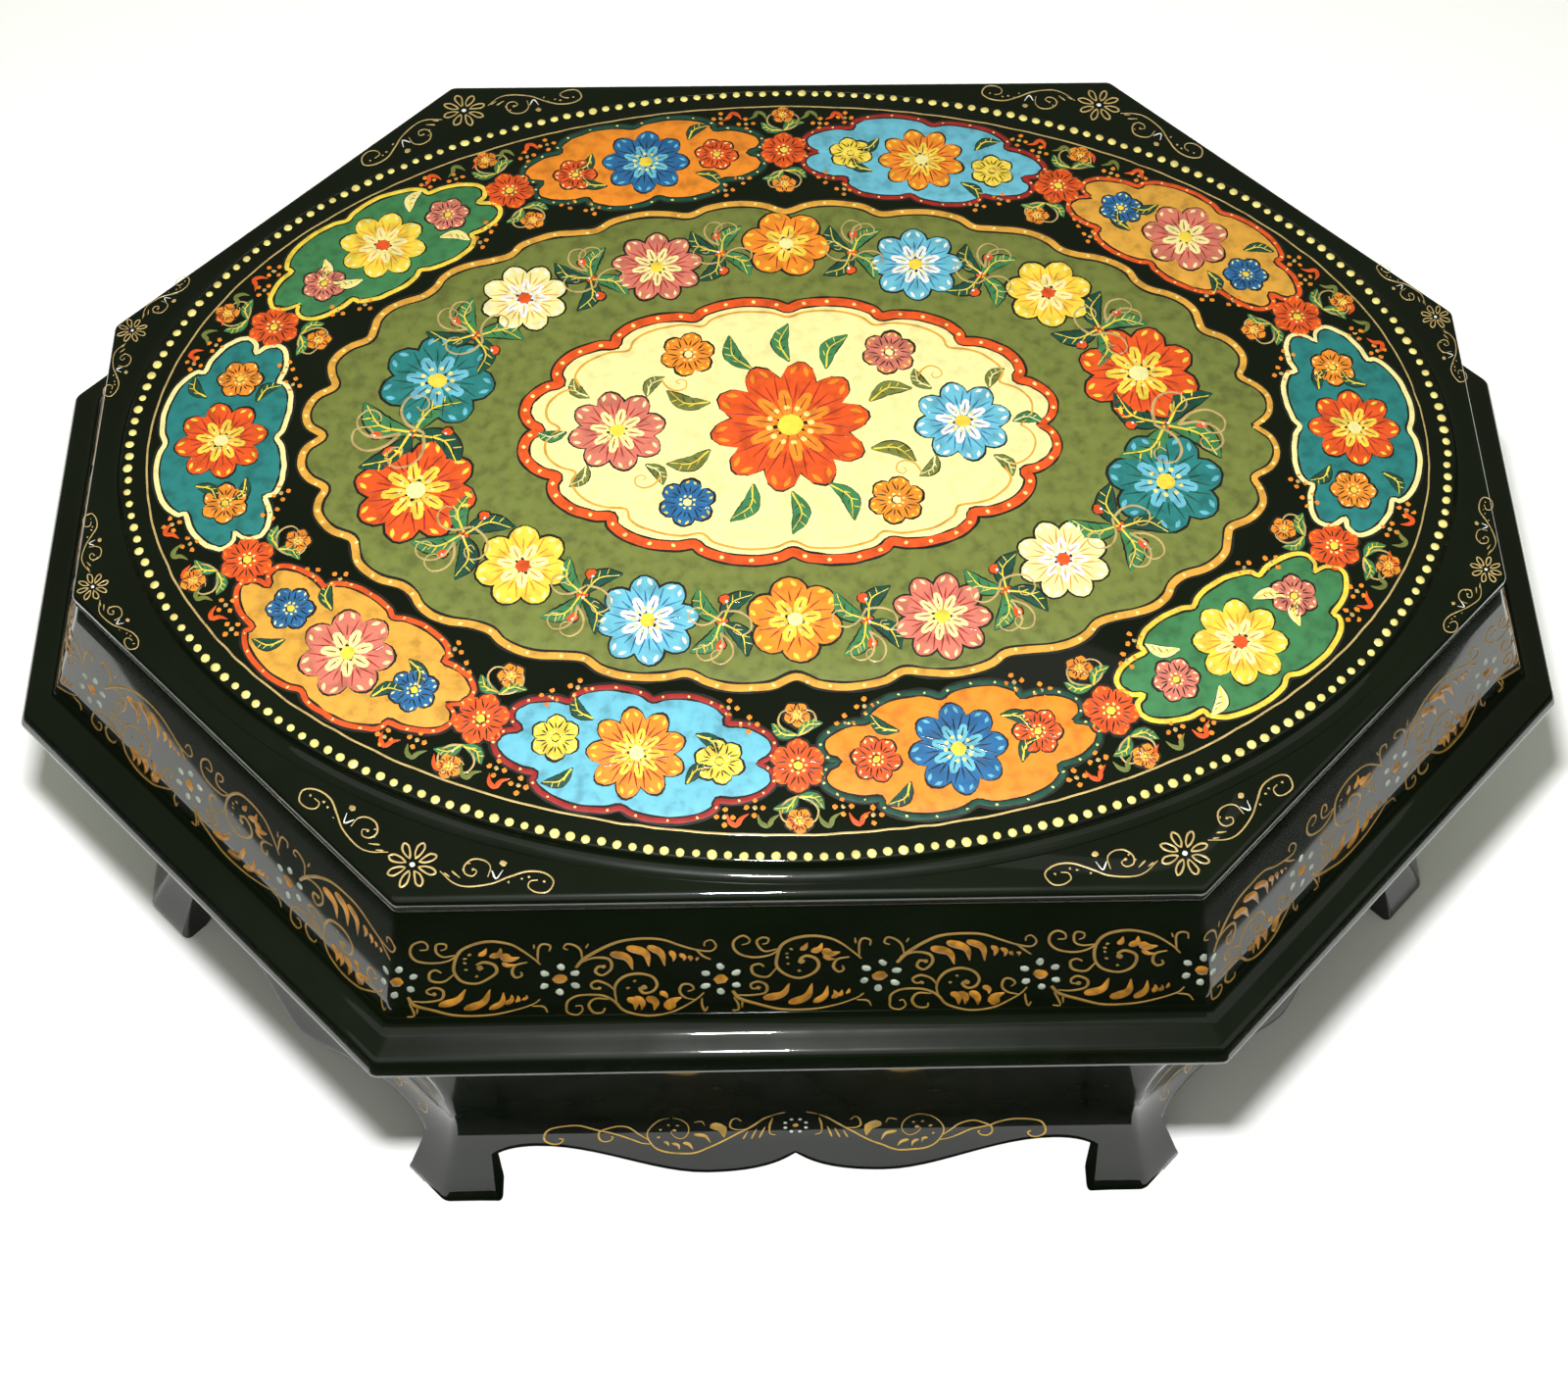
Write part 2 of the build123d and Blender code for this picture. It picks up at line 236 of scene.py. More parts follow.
@dataclass(frozen=True)
class Pigment:
    """Egg tempera or bronze paint laid by brush under a thin clear coat.

    Patches, bristles and wear are noises, each as its scale to the metre and its octaves.
    """

    name: str
    colour: Colour
    dark: float = 0.72
    light: float = 1.12
    metallic: float = 0.0
    roughness: Pair = (0.38, 0.55)
    coat: float = 0.6
    coat_roughness: float = 0.08
    bristle_depth: float = 6e-6
    patches: Pair = (420.0, 3.0)
    bristles: Pair = (2400.0, 2.0)
    wear: Pair = (700.0, 3.0)

    def material(self) -> bpy.types.Material:
        """Builds the paint material, uneven as the brush left it."""
        kit = Nodes(bpy.data.materials.new(self.name))
        stops = ((0.32, tinted(self.colour, self.dark)), (0.5, self.colour),
                 (0.68, tinted(self.colour, self.light)))
        shader = kit.add("BsdfPrincipled", Base_Color=kit.ramp(kit.noise(*self.patches), stops),
                         Normal=kit.bump(kit.noise(*self.bristles), self.bristle_depth),
                         Roughness=kit.span(kit.noise(*self.wear), *self.roughness),
                         Metallic=self.metallic, Coat_Weight=self.coat, Coat_Roughness=self.coat_roughness)
        return kit.close("OutputMaterial", shader.outputs[0])

    def finish(self) -> bpy.types.Material:
        """The pigment's material, made once."""
        return bpy.data.materials.get(self.name) or self.material()


@dataclass(frozen=True)
class Brass:
    """Rolled and lightly tarnished brass of the hinges.

    Tarnish, marks and wear are noises, each as its scale to the metre and its octaves.
    """

    name: str = "brass"
    bright: Colour = (0.72, 0.47, 0.17)
    dull: Colour = (0.38, 0.24, 0.09)
    roughness: Pair = (0.24, 0.46)
    mark_depth: float = 4e-6
    tarnish: Pair = (260.0, 5.0)
    marks: Pair = (3200.0, 2.0)
    wear: Pair = (420.0, 4.0)

    def material(self) -> bpy.types.Material:
        """Builds the brass material with tarnish and fine marks."""
        kit = Nodes(bpy.data.materials.new(self.name))
        base = kit.ramp(kit.noise(*self.tarnish), ((0.35, self.dull), (0.6, self.bright)))
        shader = kit.add("BsdfPrincipled", Base_Color=base, Metallic=1.0,
                         Normal=kit.bump(kit.noise(*self.marks), self.mark_depth),
                         Roughness=kit.span(kit.noise(*self.wear), *self.roughness))
        return kit.close("OutputMaterial", shader.outputs[0])


@dataclass(frozen=True)
class StudioFloor:
    """Pale sheet that keeps the casket's shadow, with a second layer that makes up for the
    fall of the lamp's light.

    Attributes:
        name: Name of the material.
        colour: Colour of the sheet.
        fade: Distances from the middle between which the second layer comes in.
        least: Strength of the second layer nearer than that.
    """

    name: str = "studio_floor"
    colour: Colour = (0.92, 0.92, 0.92)
    fade: Pair = (0.12, 0.21)
    least: float = 0.22

    def material(self) -> bpy.types.Material:
        """Builds the floor material."""
        kit = Nodes(bpy.data.materials.new(self.name))
        paper = kit.add("BsdfDiffuse", Color=(*self.colour, 1.0)).outputs[0]
        reach = kit.add("VectorMath", Vector=kit.add("TexCoord").outputs["Object"])
        reach.operation = "LENGTH"
        stops = ((self.fade[0], (self.least,) * 3), (self.fade[1], (1.0, 1.0, 1.0)))
        layer = kit.add("BsdfDiffuse", Color=kit.ramp(reach.outputs["Value"], stops)).outputs[0]
        both = kit.join("AddShader", paper, layer)
        return kit.close("OutputMaterial", kit.join("MixShader", seen_directly(kit), paper, both))


def seen_directly(kit: Nodes) -> Socket:
    """One for camera, glossy and transmission rays, and zero for the rest."""
    path = kit.add("LightPath")
    total = path.outputs["Is Camera Ray"]
    for name in ("Is Glossy Ray", "Is Transmission Ray"):
        total = kit.join("Math", total, path.outputs[name], operation="MAXIMUM")
    return total


BLACK_LACQUER = Lacquer("black_lacquer", (0.0022, 0.0042, 0.0013))
RED_LACQUER = Lacquer("red_lacquer", (0.33, 0.018, 0.009), 1.25, (0.3, 0.5), 3e-5)
GOLD = Pigment("gold", (0.36, 0.21, 0.042), metallic=0.2)
AMBER = Pigment("amber", (0.48, 0.21, 0.022), 0.5, 1.5, metallic=0.15)
SPRAY_GOLD = Pigment("spray_gold", (0.74, 0.45, 0.075), metallic=0.1)
PALE_GOLD = Pigment("pale_gold", (0.62, 0.44, 0.17), metallic=0.2)
RING_GOLD = Pigment("ring_gold", (0.93, 0.78, 0.24), 0.7, 1.1)
PEARL = Pigment("pearl", (0.40, 0.44, 0.36), 0.75, 1.35)
WHITE = Pigment("white", (0.86, 0.86, 0.82), 0.85, 1.05)
VERMILION = Pigment("vermilion", (0.78, 0.092, 0.012))
DEEP_RED = Pigment("deep_red", (0.36, 0.018, 0.015))
ORANGE = Pigment("orange", (0.88, 0.27, 0.02))
YELLOW = Pigment("yellow", (0.93, 0.66, 0.06))
CREAM = Pigment("cream", (0.93, 0.84, 0.36), 0.86, 1.04)
OCHRE = Pigment("ochre", (0.74, 0.37, 0.05))
OLIVE = Pigment("olive", (0.17, 0.20, 0.042))
LEAF_GREEN = Pigment("leaf_green", (0.05, 0.21, 0.075))
DARK_GREEN = Pigment("dark_green", (0.009, 0.07, 0.042))
TEAL = Pigment("teal", (0.02, 0.20, 0.19))
SKY = Pigment("sky", (0.15, 0.49, 0.62))
BLUE = Pigment("blue", (0.02, 0.14, 0.34))
ROSE = Pigment("rose", (0.68, 0.19, 0.13))
INK = Pigment("ink", (0.012, 0.010, 0.006))


# Modelling helpers


def deselect() -> None:
    """Leaves nothing selected."""
    bpy.ops.object.select_all(action="DESELECT")


def pick_only(piece: Piece) -> None:
    """Makes one object the only selected and active one."""
    deselect()
    piece.select_set(True)
    bpy.context.view_layer.objects.active = piece


def mode(name: str) -> None:
    """Switches between EDIT and OBJECT mode."""
    bpy.ops.object.mode_set(mode=name)


def chosen_verts(piece: Piece) -> set[int]:
    """Numbers of the vertices that are selected in edit mode."""
    return {vert.index for vert in bmesh.from_edit_mesh(piece.data).verts if vert.select}


def choose_verts(piece: Piece, numbers: set[int]) -> None:
    """Selects vertices in edit mode by number, with the faces between them."""
    bpy.ops.mesh.select_all(action="DESELECT")
    mesh = bmesh.from_edit_mesh(piece.data)
    for vert in mesh.verts:
        vert.select = vert.index in numbers
    mesh.select_flush(True)
    bmesh.update_edit_mesh(piece.data)


def vert_place(piece: Piece, number: int) -> Vector:
    """Place of one vertex in edit mode."""
    mesh = bmesh.from_edit_mesh(piece.data)
    mesh.verts.ensure_lookup_table()
    return mesh.verts[number].co.copy()


def select_parts(piece: Piece, kind: str,
                 test: Callable[[bmesh.types.BMEdge | bmesh.types.BMFace], bool]) -> None:
    """Selects the edges or the faces of a mesh in edit mode that pass a test.

    Args:
        piece: Mesh in edit mode.
        kind: Either edges or faces.
        test: Whether a part is selected.
    """
    bpy.ops.mesh.select_all(action="DESELECT")
    mesh = bmesh.from_edit_mesh(piece.data)
    for part in getattr(mesh, kind):
        if test(part):
            part.select_set(True)
    bmesh.update_edit_mesh(piece.data)


def select_level(piece: Piece, level: float) -> None:
    """Selects the flat faces that lie at a level."""
    select_parts(piece, "faces", lambda face: all(abs(v.co.z - level) < LEVEL_MATCH for v in face.verts))


def weld(gap: float) -> None:
    """Joins vertices closer than the gap in the mesh in edit mode and turns its faces outward."""
    bpy.ops.mesh.select_all(action="SELECT")
    bpy.ops.mesh.remove_doubles(threshold=gap)
    bpy.ops.mesh.normals_make_consistent(inside=False)


def stretch(level: float, shares: Pair) -> None:
    """Stretches what is selected in edit mode about the middle of a level."""
    bpy.ops.transform.resize(value=(*shares, 1), center_override=(0, 0, level))


def open_face(level: float, shares: Pair) -> Piece:
    """Takes the new face at a level into edit mode and stretches it."""
    piece = bpy.context.object
    settle(piece)
    mode("EDIT")
    bpy.ops.mesh.select_all(action="SELECT")
    stretch(level, shares)
    return piece


def weave(places: np.ndarray, rows: int, gap: float) -> Piece:
    """Closed mesh of a grid whose rows of vertices are put in their places, left in edit mode."""
    deselect()
    bpy.ops.mesh.primitive_grid_add(x_subdivisions=len(places) // rows - 1, y_subdivisions=rows - 1)
    piece = bpy.context.object
    piece.data.vertices.foreach_set("co", places.ravel())
    mode("EDIT")
    weld(gap)
    return piece


def apply_modifier(piece: Piece, kind: str, **settings: object) -> None:
    """Adds a modifier with the given settings and applies it.

    Args:
        piece: Mesh object.
        kind: Modifier type, such as BEVEL.
        **settings: Properties of the modifier.
    """
    pick_only(piece)
    modifier = piece.modifiers.new(kind.lower(), kind)
    for key, value in settings.items():
        setattr(modifier, key, value)
    bpy.ops.object.modifier_apply(modifier=modifier.name)


def soften(piece: Piece, width: float, angle: float = 32.0) -> None:
    """Rounds the arrises sharper than the angle, as layers of lacquer do."""
    apply_modifier(piece, "BEVEL", width=width, segments=2, limit_method="ANGLE",
                   angle_limit=math.radians(angle), harden_normals=False)
    smooth(piece)


def smooth(piece: Piece, angle: float = 34.0) -> None:
    """Shades curved faces smooth and keeps edges sharper than the angle."""
    pick_only(piece)
    bpy.ops.object.shade_smooth_by_angle(angle=math.radians(angle))


def settle(piece: Piece) -> None:
    """Moves an object's place into its mesh."""
    pick_only(piece)
    bpy.ops.object.transform_apply(location=True, rotation=True, scale=True)


def cut_away(piece: Piece) -> None:
    """Cuts the active object out of a piece and removes it."""
    cutter = bpy.context.object
    settle(cutter)
    apply_modifier(piece, "BOOLEAN", object=cutter, operation="DIFFERENCE", solver="EXACT")
    bpy.data.objects.remove(cutter)


def dress(piece: Piece, finish: bpy.types.Material) -> None:
    """Gives a piece its material in place of any it has."""
    piece.data.materials.clear()
    piece.data.materials.append(finish)


def seat(piece: Piece, body: str, slot: str, *nodes: str) -> None:
    """Rides a piece on its body and hides the nodes that it stands for."""
    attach(piece, body)
    if nodes:
        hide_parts(*nodes)
    LOG.info("%s rides on %s: %d faces", piece.name, body, len(piece.data.polygons))


# Plans: outlines that a solid is drawn up along


@dataclass(frozen=True)
class Side:
    """One side of the octagon: its middle, direction, outward normal and half length."""

    middle: Vector
    along: Vector
    outward: Vector
    half: float

    def half_at(self, spread: float) -> float:
        """Half length of the side moved outward by spread."""
        return self.half + spread * MITRE_GROWTH


class Plan(Protocol):
    """Outline that a solid grows along, ring by ring."""

    def lay_out(self, spread: float, level: float) -> Piece:
        """Adds the first face of the solid and leaves it in edit mode."""

    def taper(self, piece: Piece, level: float, old: float, new: float) -> None:
        """Changes the ring that lies at a level from one spread to another."""


@dataclass(frozen=True)
class Octagon:
    """Octagonal outline of the lid, moved outward by a spread for the other courses."""

    half_length: float
    half_width: float
    corner_cut: float

    def sizes(self, spread: float) -> Triple:
        """Half length, half width and corner cut of the outline moved outward by spread."""
        return (self.half_length + spread, self.half_width + spread, self.corner_cut + spread * CUT_GROWTH)

    def corners(self, spread: float) -> list[Vector]:
        """Corners from the front left one, counterclockwise."""
        x, y, cut = self.sizes(spread)
        places = [(cut - x, -y), (x - cut, -y), (x, cut - y), (x, y - cut),
                  (x - cut, y), (cut - x, y), (-x, y - cut), (-x, cut - y)]
        return [Vector((*place, 0.0)) for place in places]

    def side(self, index: int) -> Side:
        """One side of the plain lid outline."""
        corners = self.corners(0.0)
        start, end = corners[index], corners[(index + 1) % CORNERS]
        along = (end - start).normalized()
        return Side((start + end) / 2, along, Vector((along.y, -along.x, 0)), (end - start).length / 2)

    def corner_of(self, place: Vector) -> int:
        """Number of the corner that a point is nearest to."""
        corners = self.corners(0.0)
        return min(range(CORNERS), key=lambda k: (corners[k].xy - place.xy).length_squared)

    def on_mitre(self, place: Vector) -> bool:
        """Whether a point lies on the upright plane through its nearest corner."""
        number = self.corner_of(place)
        start, end = self.corners(0.0)[number], self.corners(0.01)[number]
        return abs((end - start).xy.normalized().cross((place - start).xy)) < MITRE_MATCH

    def spread_at(self, place: Vector) -> float:
        """Spread of a point on the side after its nearest corner."""
        side = self.side(self.corner_of(place))
        return (place - side.middle).dot(side.outward)

    def lay_out(self, spread: float, level: float) -> Piece:
        """Adds a plane at the level and bevels its corners to the octagon."""
        deselect()
        bpy.ops.mesh.primitive_plane_add(size=1.0, location=(0, 0, level))
        x, y, cut = self.sizes(spread)
        piece = open_face(level, (2 * x, 2 * y))
        bpy.ops.mesh.bevel(offset=cut, offset_type="OFFSET", affect="VERTICES", segments=1)
        bpy.ops.mesh.select_all(action="SELECT")
        return piece

    def taper(self, piece: Piece, level: float, old: float, new: float) -> None:
        """Resizes the four corners of the long sides, then the four of the ends."""
        ring = chosen_verts(piece)
        ends = {number for number in ring if self.corner_of(vert_place(piece, number)) % 4 > 1}
        for number, part in ((0, ring - ends), (2, ends)):
            start, end = self.corners(old)[number], self.corners(new)[number]
            choose_verts(piece, part)
            stretch(level, (end.x / start.x, end.y / start.y))
        choose_verts(piece, ring)


@dataclass(frozen=True)
class Oval:
    """Elliptical outline, given by the half length of each ring."""

    ratio: float
    segments: int = 192

    def lay_out(self, spread: float, level: float) -> Piece:
        """Adds a filled circle at the level and narrows it to the oval."""
        deselect()
        bpy.ops.mesh.primitive_circle_add(vertices=self.segments, radius=spread, fill_type="NGON",
                                          location=(0, 0, level))
        return open_face(level, (1, self.ratio))

    def taper(self, piece: Piece, level: float, old: float, new: float) -> None:
        """Resizes the selected ring."""
        stretch(level, (new / old, new / old))


def draw_up(name: str, plan: Plan, profile: Sequence[Pair]) -> Piece:
    """Draws a closed solid up from its bottom face, ring by ring.

    Args:
        name: Name of the piece.
        plan: Outline of each ring.
        profile: Spread and level of each ring, from the bottom up.

    Returns:
        The solid, in edit mode, with its top face selected.
    """
    piece = plan.lay_out(*profile[0])
    piece.name = piece.data.name = name
    draw_on(piece, plan, profile)
    return piece


def draw_on(piece: Piece, plan: Plan, profile: Sequence[Pair]) -> None:
    """Extrudes the selected face through the rings of a profile, which starts with its own."""
    for (old, below), (new, level) in zip(profile, profile[1:]):
        rise = {"value": (0, 0, level - below)}
        bpy.ops.mesh.extrude_region_move(TRANSFORM_OT_translate=rise)
        if abs(new - old) > SPREAD_MATCH:
            plan.taper(piece, level, old, new)


def arc(centre: Pair, radius: float, start: float, end: float, steps: int) -> list[Pair]:
    """Points of an arc in a profile.

    Args:
        centre: Middle of the arc.
        radius: Radius of the arc.
        start: First angle in degrees.
        end: Last angle in degrees.
        steps: Number of segments.

    Returns:
        The points, both ends included.
    """
    angles = [math.radians(start + (end - start) * step / steps) for step in range(steps + 1)]
    return [(centre[0] + radius * math.cos(a), centre[1] + radius * math.sin(a)) for a in angles]


def sweep(start: Pair, end: Pair, shares: Sequence[Pair], steps: int) -> list[Pair]:
    """Points of a Bezier curve whose two handles are shares of the way between its ends.

    Args:
        start: First point.
        end: Last point.
        shares: Two handles, as shares of the way across and up.
        steps: Number of segments.

    Returns:
        The points, both ends included.
    """
    poles = [start]
    poles += [tuple(start[k] + share[k] * (end[k] - start[k]) for k in range(2)) for share in shares]
    poles.append(end)
    points = []
    for step in range(steps + 1):
        t = step / steps
        weights = ((1 - t) ** 3, 3 * t * (1 - t) ** 2, 3 * t * t * (1 - t), t ** 3)
        points.append(tuple(sum(w * pole[k] for w, pole in zip(weights, poles)) for k in range(2)))
    return points


# Painting


class Taper(Enum):
    """Width of a stroke along its length, as pairs of place and share of the full width."""

    EVEN = ((0.0, 0.7), (0.06, 1.0), (0.94, 1.0), (1.0, 0.7))
    LINE = ((0.0, 0.5), (0.2, 0.85), (0.5, 1.0), (0.8, 0.85), (1.0, 0.6))
    BRUSH = ((0.0, 0.5), (0.35, 1.0), (0.75, 0.8), (0.95, 1.0), (1.0, 0.8))
    STEM = ((0.0, 0.8), (0.08, 1.0), (0.5, 0.7), (1.0, 0.4))
    TICK = ((0.0, 0.5), (0.3, 1.0), (1.0, 0.35))
    LEAF = ((0.0, 0.12), (0.25, 0.75), (0.5, 1.0), (0.75, 0.75), (1.0, 0.08))
    COMMA = ((0.0, 0.35), (0.1, 0.85), (0.3, 1.0), (0.6, 0.7), (0.85, 0.35), (1.0, 0.1))
    PETAL = ((0.0, 0.3), (0.3, 0.75), (0.65, 1.0), (0.88, 0.75), (1.0, 0.2))
    ROUND = ((0.0, 0.05), (0.08, 0.55), (0.25, 0.87), (0.5, 1.0), (0.75, 0.87), (0.92, 0.55), (1.0, 0.05))


@dataclass(frozen=True)
class Stroke:
    """One brush stroke: its taper, full width and the points it runs through."""

    taper: Taper
    width: float
    points: tuple[Pair, ...]


@dataclass(frozen=True)
class Motif:
    """Group of strokes, leaves (both ends and width) and dots (place and size)."""

    strokes: tuple[Stroke, ...]
    leaves: tuple[tuple[float, float, float, float, float], ...] = ()
    dots: tuple[Triple, ...] = ()


@dataclass(frozen=True)
class Setting:
    """Place, turn in degrees, scale and mirroring of a motif on its sheet."""

    x: float = 0.0
    y: float = 0.0
    turn: float = 0.0
    scale: float = 1.0
    flip: bool = False

    def put(self, points: np.ndarray) -> np.ndarray:
        """Moves points of the motif to their place on the sheet."""
        turn = math.radians(self.turn)
        across = points * (self.scale * (-1 if self.flip else 1), self.scale)
        spin = np.array(((math.cos(turn), math.sin(turn)), (-math.sin(turn), math.cos(turn))))
        return across @ spin + (self.x, self.y)


class Sheet(Protocol):
    """Surface that strokes are laid on."""

    def lay(self, points: np.ndarray) -> np.ndarray:
        """Turns rows of across, up and height in millimetres into places in metres."""


def flow(points: np.ndarray, step: float) -> np.ndarray:
    """Smooth curve through points.

    Args:
        points: Rows of two coordinates.
        step: Largest distance between points of the curve.

    Returns:
        Rows of two coordinates.
    """
    ends = np.vstack((2 * points[0] - points[1], points, 2 * points[-1] - points[-2]))
    rows = [points[:1]]
    for a, b, c, d in zip(ends, ends[1:], ends[2:], ends[3:]):
        count = max(1, math.ceil(float(np.hypot(*(c - b))) / step))
        t = (np.arange(1, count + 1) / count)[:, None]
        rows.append(0.5 * (2 * b + (c - a) * t + (2 * a - 5 * b + 4 * c - d) * t ** 2
                           + (3 * b - a - 3 * c + d) * t ** 3))
    return np.vstack(rows)


@dataclass
class Brush:
    """Strokes of one pigment, gathered flat and then laid on a surface as raised paint.

    Attributes:
        name: Name of the piece.
        base: Height of the layer below in millimetres.
        relief: Height of the paint in millimetres.
        step: Distance between the points of a stroke in millimetres.
        sides: Roundness of a stroke's section.
        shake: Unsteadiness of the hand in millimetres.
        fineness: Factor on the width of a motif's lines.
        fullness: Factor on the width of a motif's leaves.
    """

    name: str
    base: float = 0.0
    relief: float = 0.07
    step: float = 0.6
    sides: int = 1
    shake: float = 0.0
    fineness: float = 0.85
    fullness: float = 1.0
    paths: list[tuple[np.ndarray, np.ndarray]] = field(default_factory=list)

    def __post_init__(self) -> None:
        """Starts the brush's own run of chance."""
        self.chance = np.random.default_rng(len(self.name) * 977 + sum(map(ord, self.name)))

    def stroke(self, points: Sequence[Pair] | np.ndarray, width: float, taper: Taper = Taper.LINE,
               setting: Setting = Setting()) -> None:
        """Adds a stroke through points.

        Args:
            points: Rows of two coordinates in the motif's own millimetres.
            width: Full width.
            taper: Width along the stroke.
            setting: Place of the motif on the sheet.
        """
        nodes = np.asarray(points, dtype=float)
        nodes = setting.put(nodes) + self.chance.normal(0.0, self.shake, nodes.shape)
        places = flow(nodes, self.step)
        run = np.concatenate(((0.0,), np.hypot(*np.diff(places, axis=0).T).cumsum()))
        shares = np.interp(run / max(run[-1], 1e-6), *zip(*taper.value))
        self.paths.append((places, shares * width * setting.scale / 2))

    def leaf(self, start: Pair, end: Pair, width: float, bend: float = 0.16,
             taper: Taper = Taper.COMMA, setting: Setting = Setting()) -> None:
        """Adds a short wide stroke that bows to one side by a share of its length."""
        (x0, y0), (x1, y1) = start, end
        bow = ((x0 + x1) / 2 - bend * (y1 - y0), (y0 + y1) / 2 + bend * (x1 - x0))
        self.stroke((start, bow, end), width, taper, setting)

    def dot(self, place: Pair, size: float, longer: float = 1.0, turn: float = 0.0,
            setting: Setting = Setting()) -> None:
        """Adds a round or longish dot."""
        reach = size * longer / 2
        dx, dy = reach * math.cos(turn), reach * math.sin(turn)
        ends = [(place[0] + s * dx, place[1] + s * dy) for s in (-1.0, -0.5, 0.0, 0.5, 1.0)]
        self.stroke(ends, size, Taper.ROUND, setting)

    def motif(self, motif: Motif, setting: Setting = Setting()) -> None:
        """Adds the lines and dots of a motif."""
        for stroke in motif.strokes:
            self.stroke(stroke.points, self.fineness * stroke.width, stroke.taper, setting)
        for x, y, size in motif.dots:
            self.dot((x, y), size, setting=setting)

    def leaves(self, motif: Motif, setting: Setting = Setting(), bend: float = 0.16) -> None:
        """Adds the leaves of a motif."""
        for x0, y0, x1, y1, width in motif.leaves:
            self.leaf((x0, y0), (x1, y1), self.fullness * width, bend, setting=setting)

    def paint(self, sheet: Sheet) -> Piece:
        """Draws the strokes as curves, makes them solid and drapes them over the surface."""
        curve = bpy.data.curves.new(self.name, "CURVE")
        curve.dimensions, curve.twist_mode = "3D", "Z_UP"
        curve.bevel_depth, curve.bevel_resolution, curve.use_fill_caps = MM, self.sides, True
        for places, radii in self.paths:
            spline = curve.splines.new("POLY")
            spline.points.add(len(places) - 1)
            rows = np.column_stack((places * MM, np.zeros(len(places)), np.ones(len(places))))
            spline.points.foreach_set("co", rows.ravel())
            spline.points.foreach_set("radius", radii)
        piece = bpy.data.objects.new(self.name, curve)
        bpy.context.scene.collection.objects.link(piece)
        pick_only(piece)
        bpy.ops.object.convert(target="MESH")
        piece = bpy.context.object
        mode("EDIT")
        weld(0.0004 * MM)
        mode("OBJECT")
        drape(piece, sheet, self.base, self.relief)
        smooth(piece, PAINT_ANGLE)
        return piece


def drape(piece: Piece, sheet: Sheet, base: float, relief: float) -> None:
    """Lays a flat piece over a surface and flattens its height to the relief of paint.

    The underside of the paint is sunk a little into the layer below.

    Args:
        piece: Mesh drawn in the sheet's own plane, in metres.
        sheet: Surface it is laid on.
        base: Height of the layer below in millimetres.
        relief: Height of the paint in millimetres.
    """
    places = np.empty(3 * len(piece.data.vertices))
    piece.data.vertices.foreach_get("co", places)
    places = places.reshape(-1, 3) / MM
    height = places[:, 2]
    raised = base + relief * (1 - np.exp(-np.maximum(height, 0) / relief))
    places[:, 2] = np.where(height > PAINT_UNDERSIDE, raised, base - PAINT_SINK)
    piece.data.vertices.foreach_set("co", sheet.lay(places).ravel())
    piece.data.update()


# The casket's sub-assemblies


@dataclass
class Levels:
    """Heights of the courses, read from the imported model."""

    stand_top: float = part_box("apron_front")[1].z
    moulding_top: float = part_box("plinth_front")[1].z
    case_top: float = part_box("frieze_front")[1].z
    lid_bottom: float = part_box("lid_plate")[0].z
    plate_top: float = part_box("lid_plate")[1].z


LEVELS = Levels()
PLAN = Octagon(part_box("lid_plate")[1].x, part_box("lid_plate")[1].y, 57.0 * MM)
SIDES = ("front", "front_right", "right", "back_right", "back", "back_left", "left", "front_left")


def around(course: str) -> list[str]:
    """Names of the eight CAD nodes of one course."""
    return [f"{course}_{side}" for side in SIDES]


def open_well(piece: Piece, top: Pair, floor: Pair, well: float) -> None:
    """Draws a well down through a solid, from its selected top face to its bottom face.

    Args:
        piece: Solid in edit mode.
        top: Spread and level of the top face.
        floor: Spread and level of the bottom face.
        well: Spread of the well's wall.
    """
    draw_on(piece, PLAN, [top, (well, top[1]), (well, floor[1])])
    bpy.ops.mesh.delete(type="FACE")
    select_level(piece, floor[1])
    bpy.ops.mesh.inset(thickness=floor[0] - well, depth=0.0, use_even_offset=True)
    bpy.ops.mesh.delete(type="FACE")
    weld(0.002 * MM)


def soften_mitres(piece: Piece, width: float, inner: float) -> None:
    """Rounds the eight outer mitre lines, which are filled over with lacquer.

    Args:
        piece: Solid in edit mode.
        width: Width of the bevel.
        inner: Spread inside which the edges stay sharp.
    """
    def on_mitre(edge: bmesh.types.BMEdge) -> bool:
        """Whether an edge runs up an outer corner."""
        start, end = (vert.co for vert in edge.verts)
        outside = PLAN.spread_at(start) > inner and PLAN.spread_at(end) > inner
        return outside and PLAN.corner_of(start) == PLAN.corner_of(end)

    select_parts(piece, "edges", on_mitre)
    bpy.ops.mesh.bevel(offset=width, offset_type="OFFSET", segments=3, affect="EDGES")


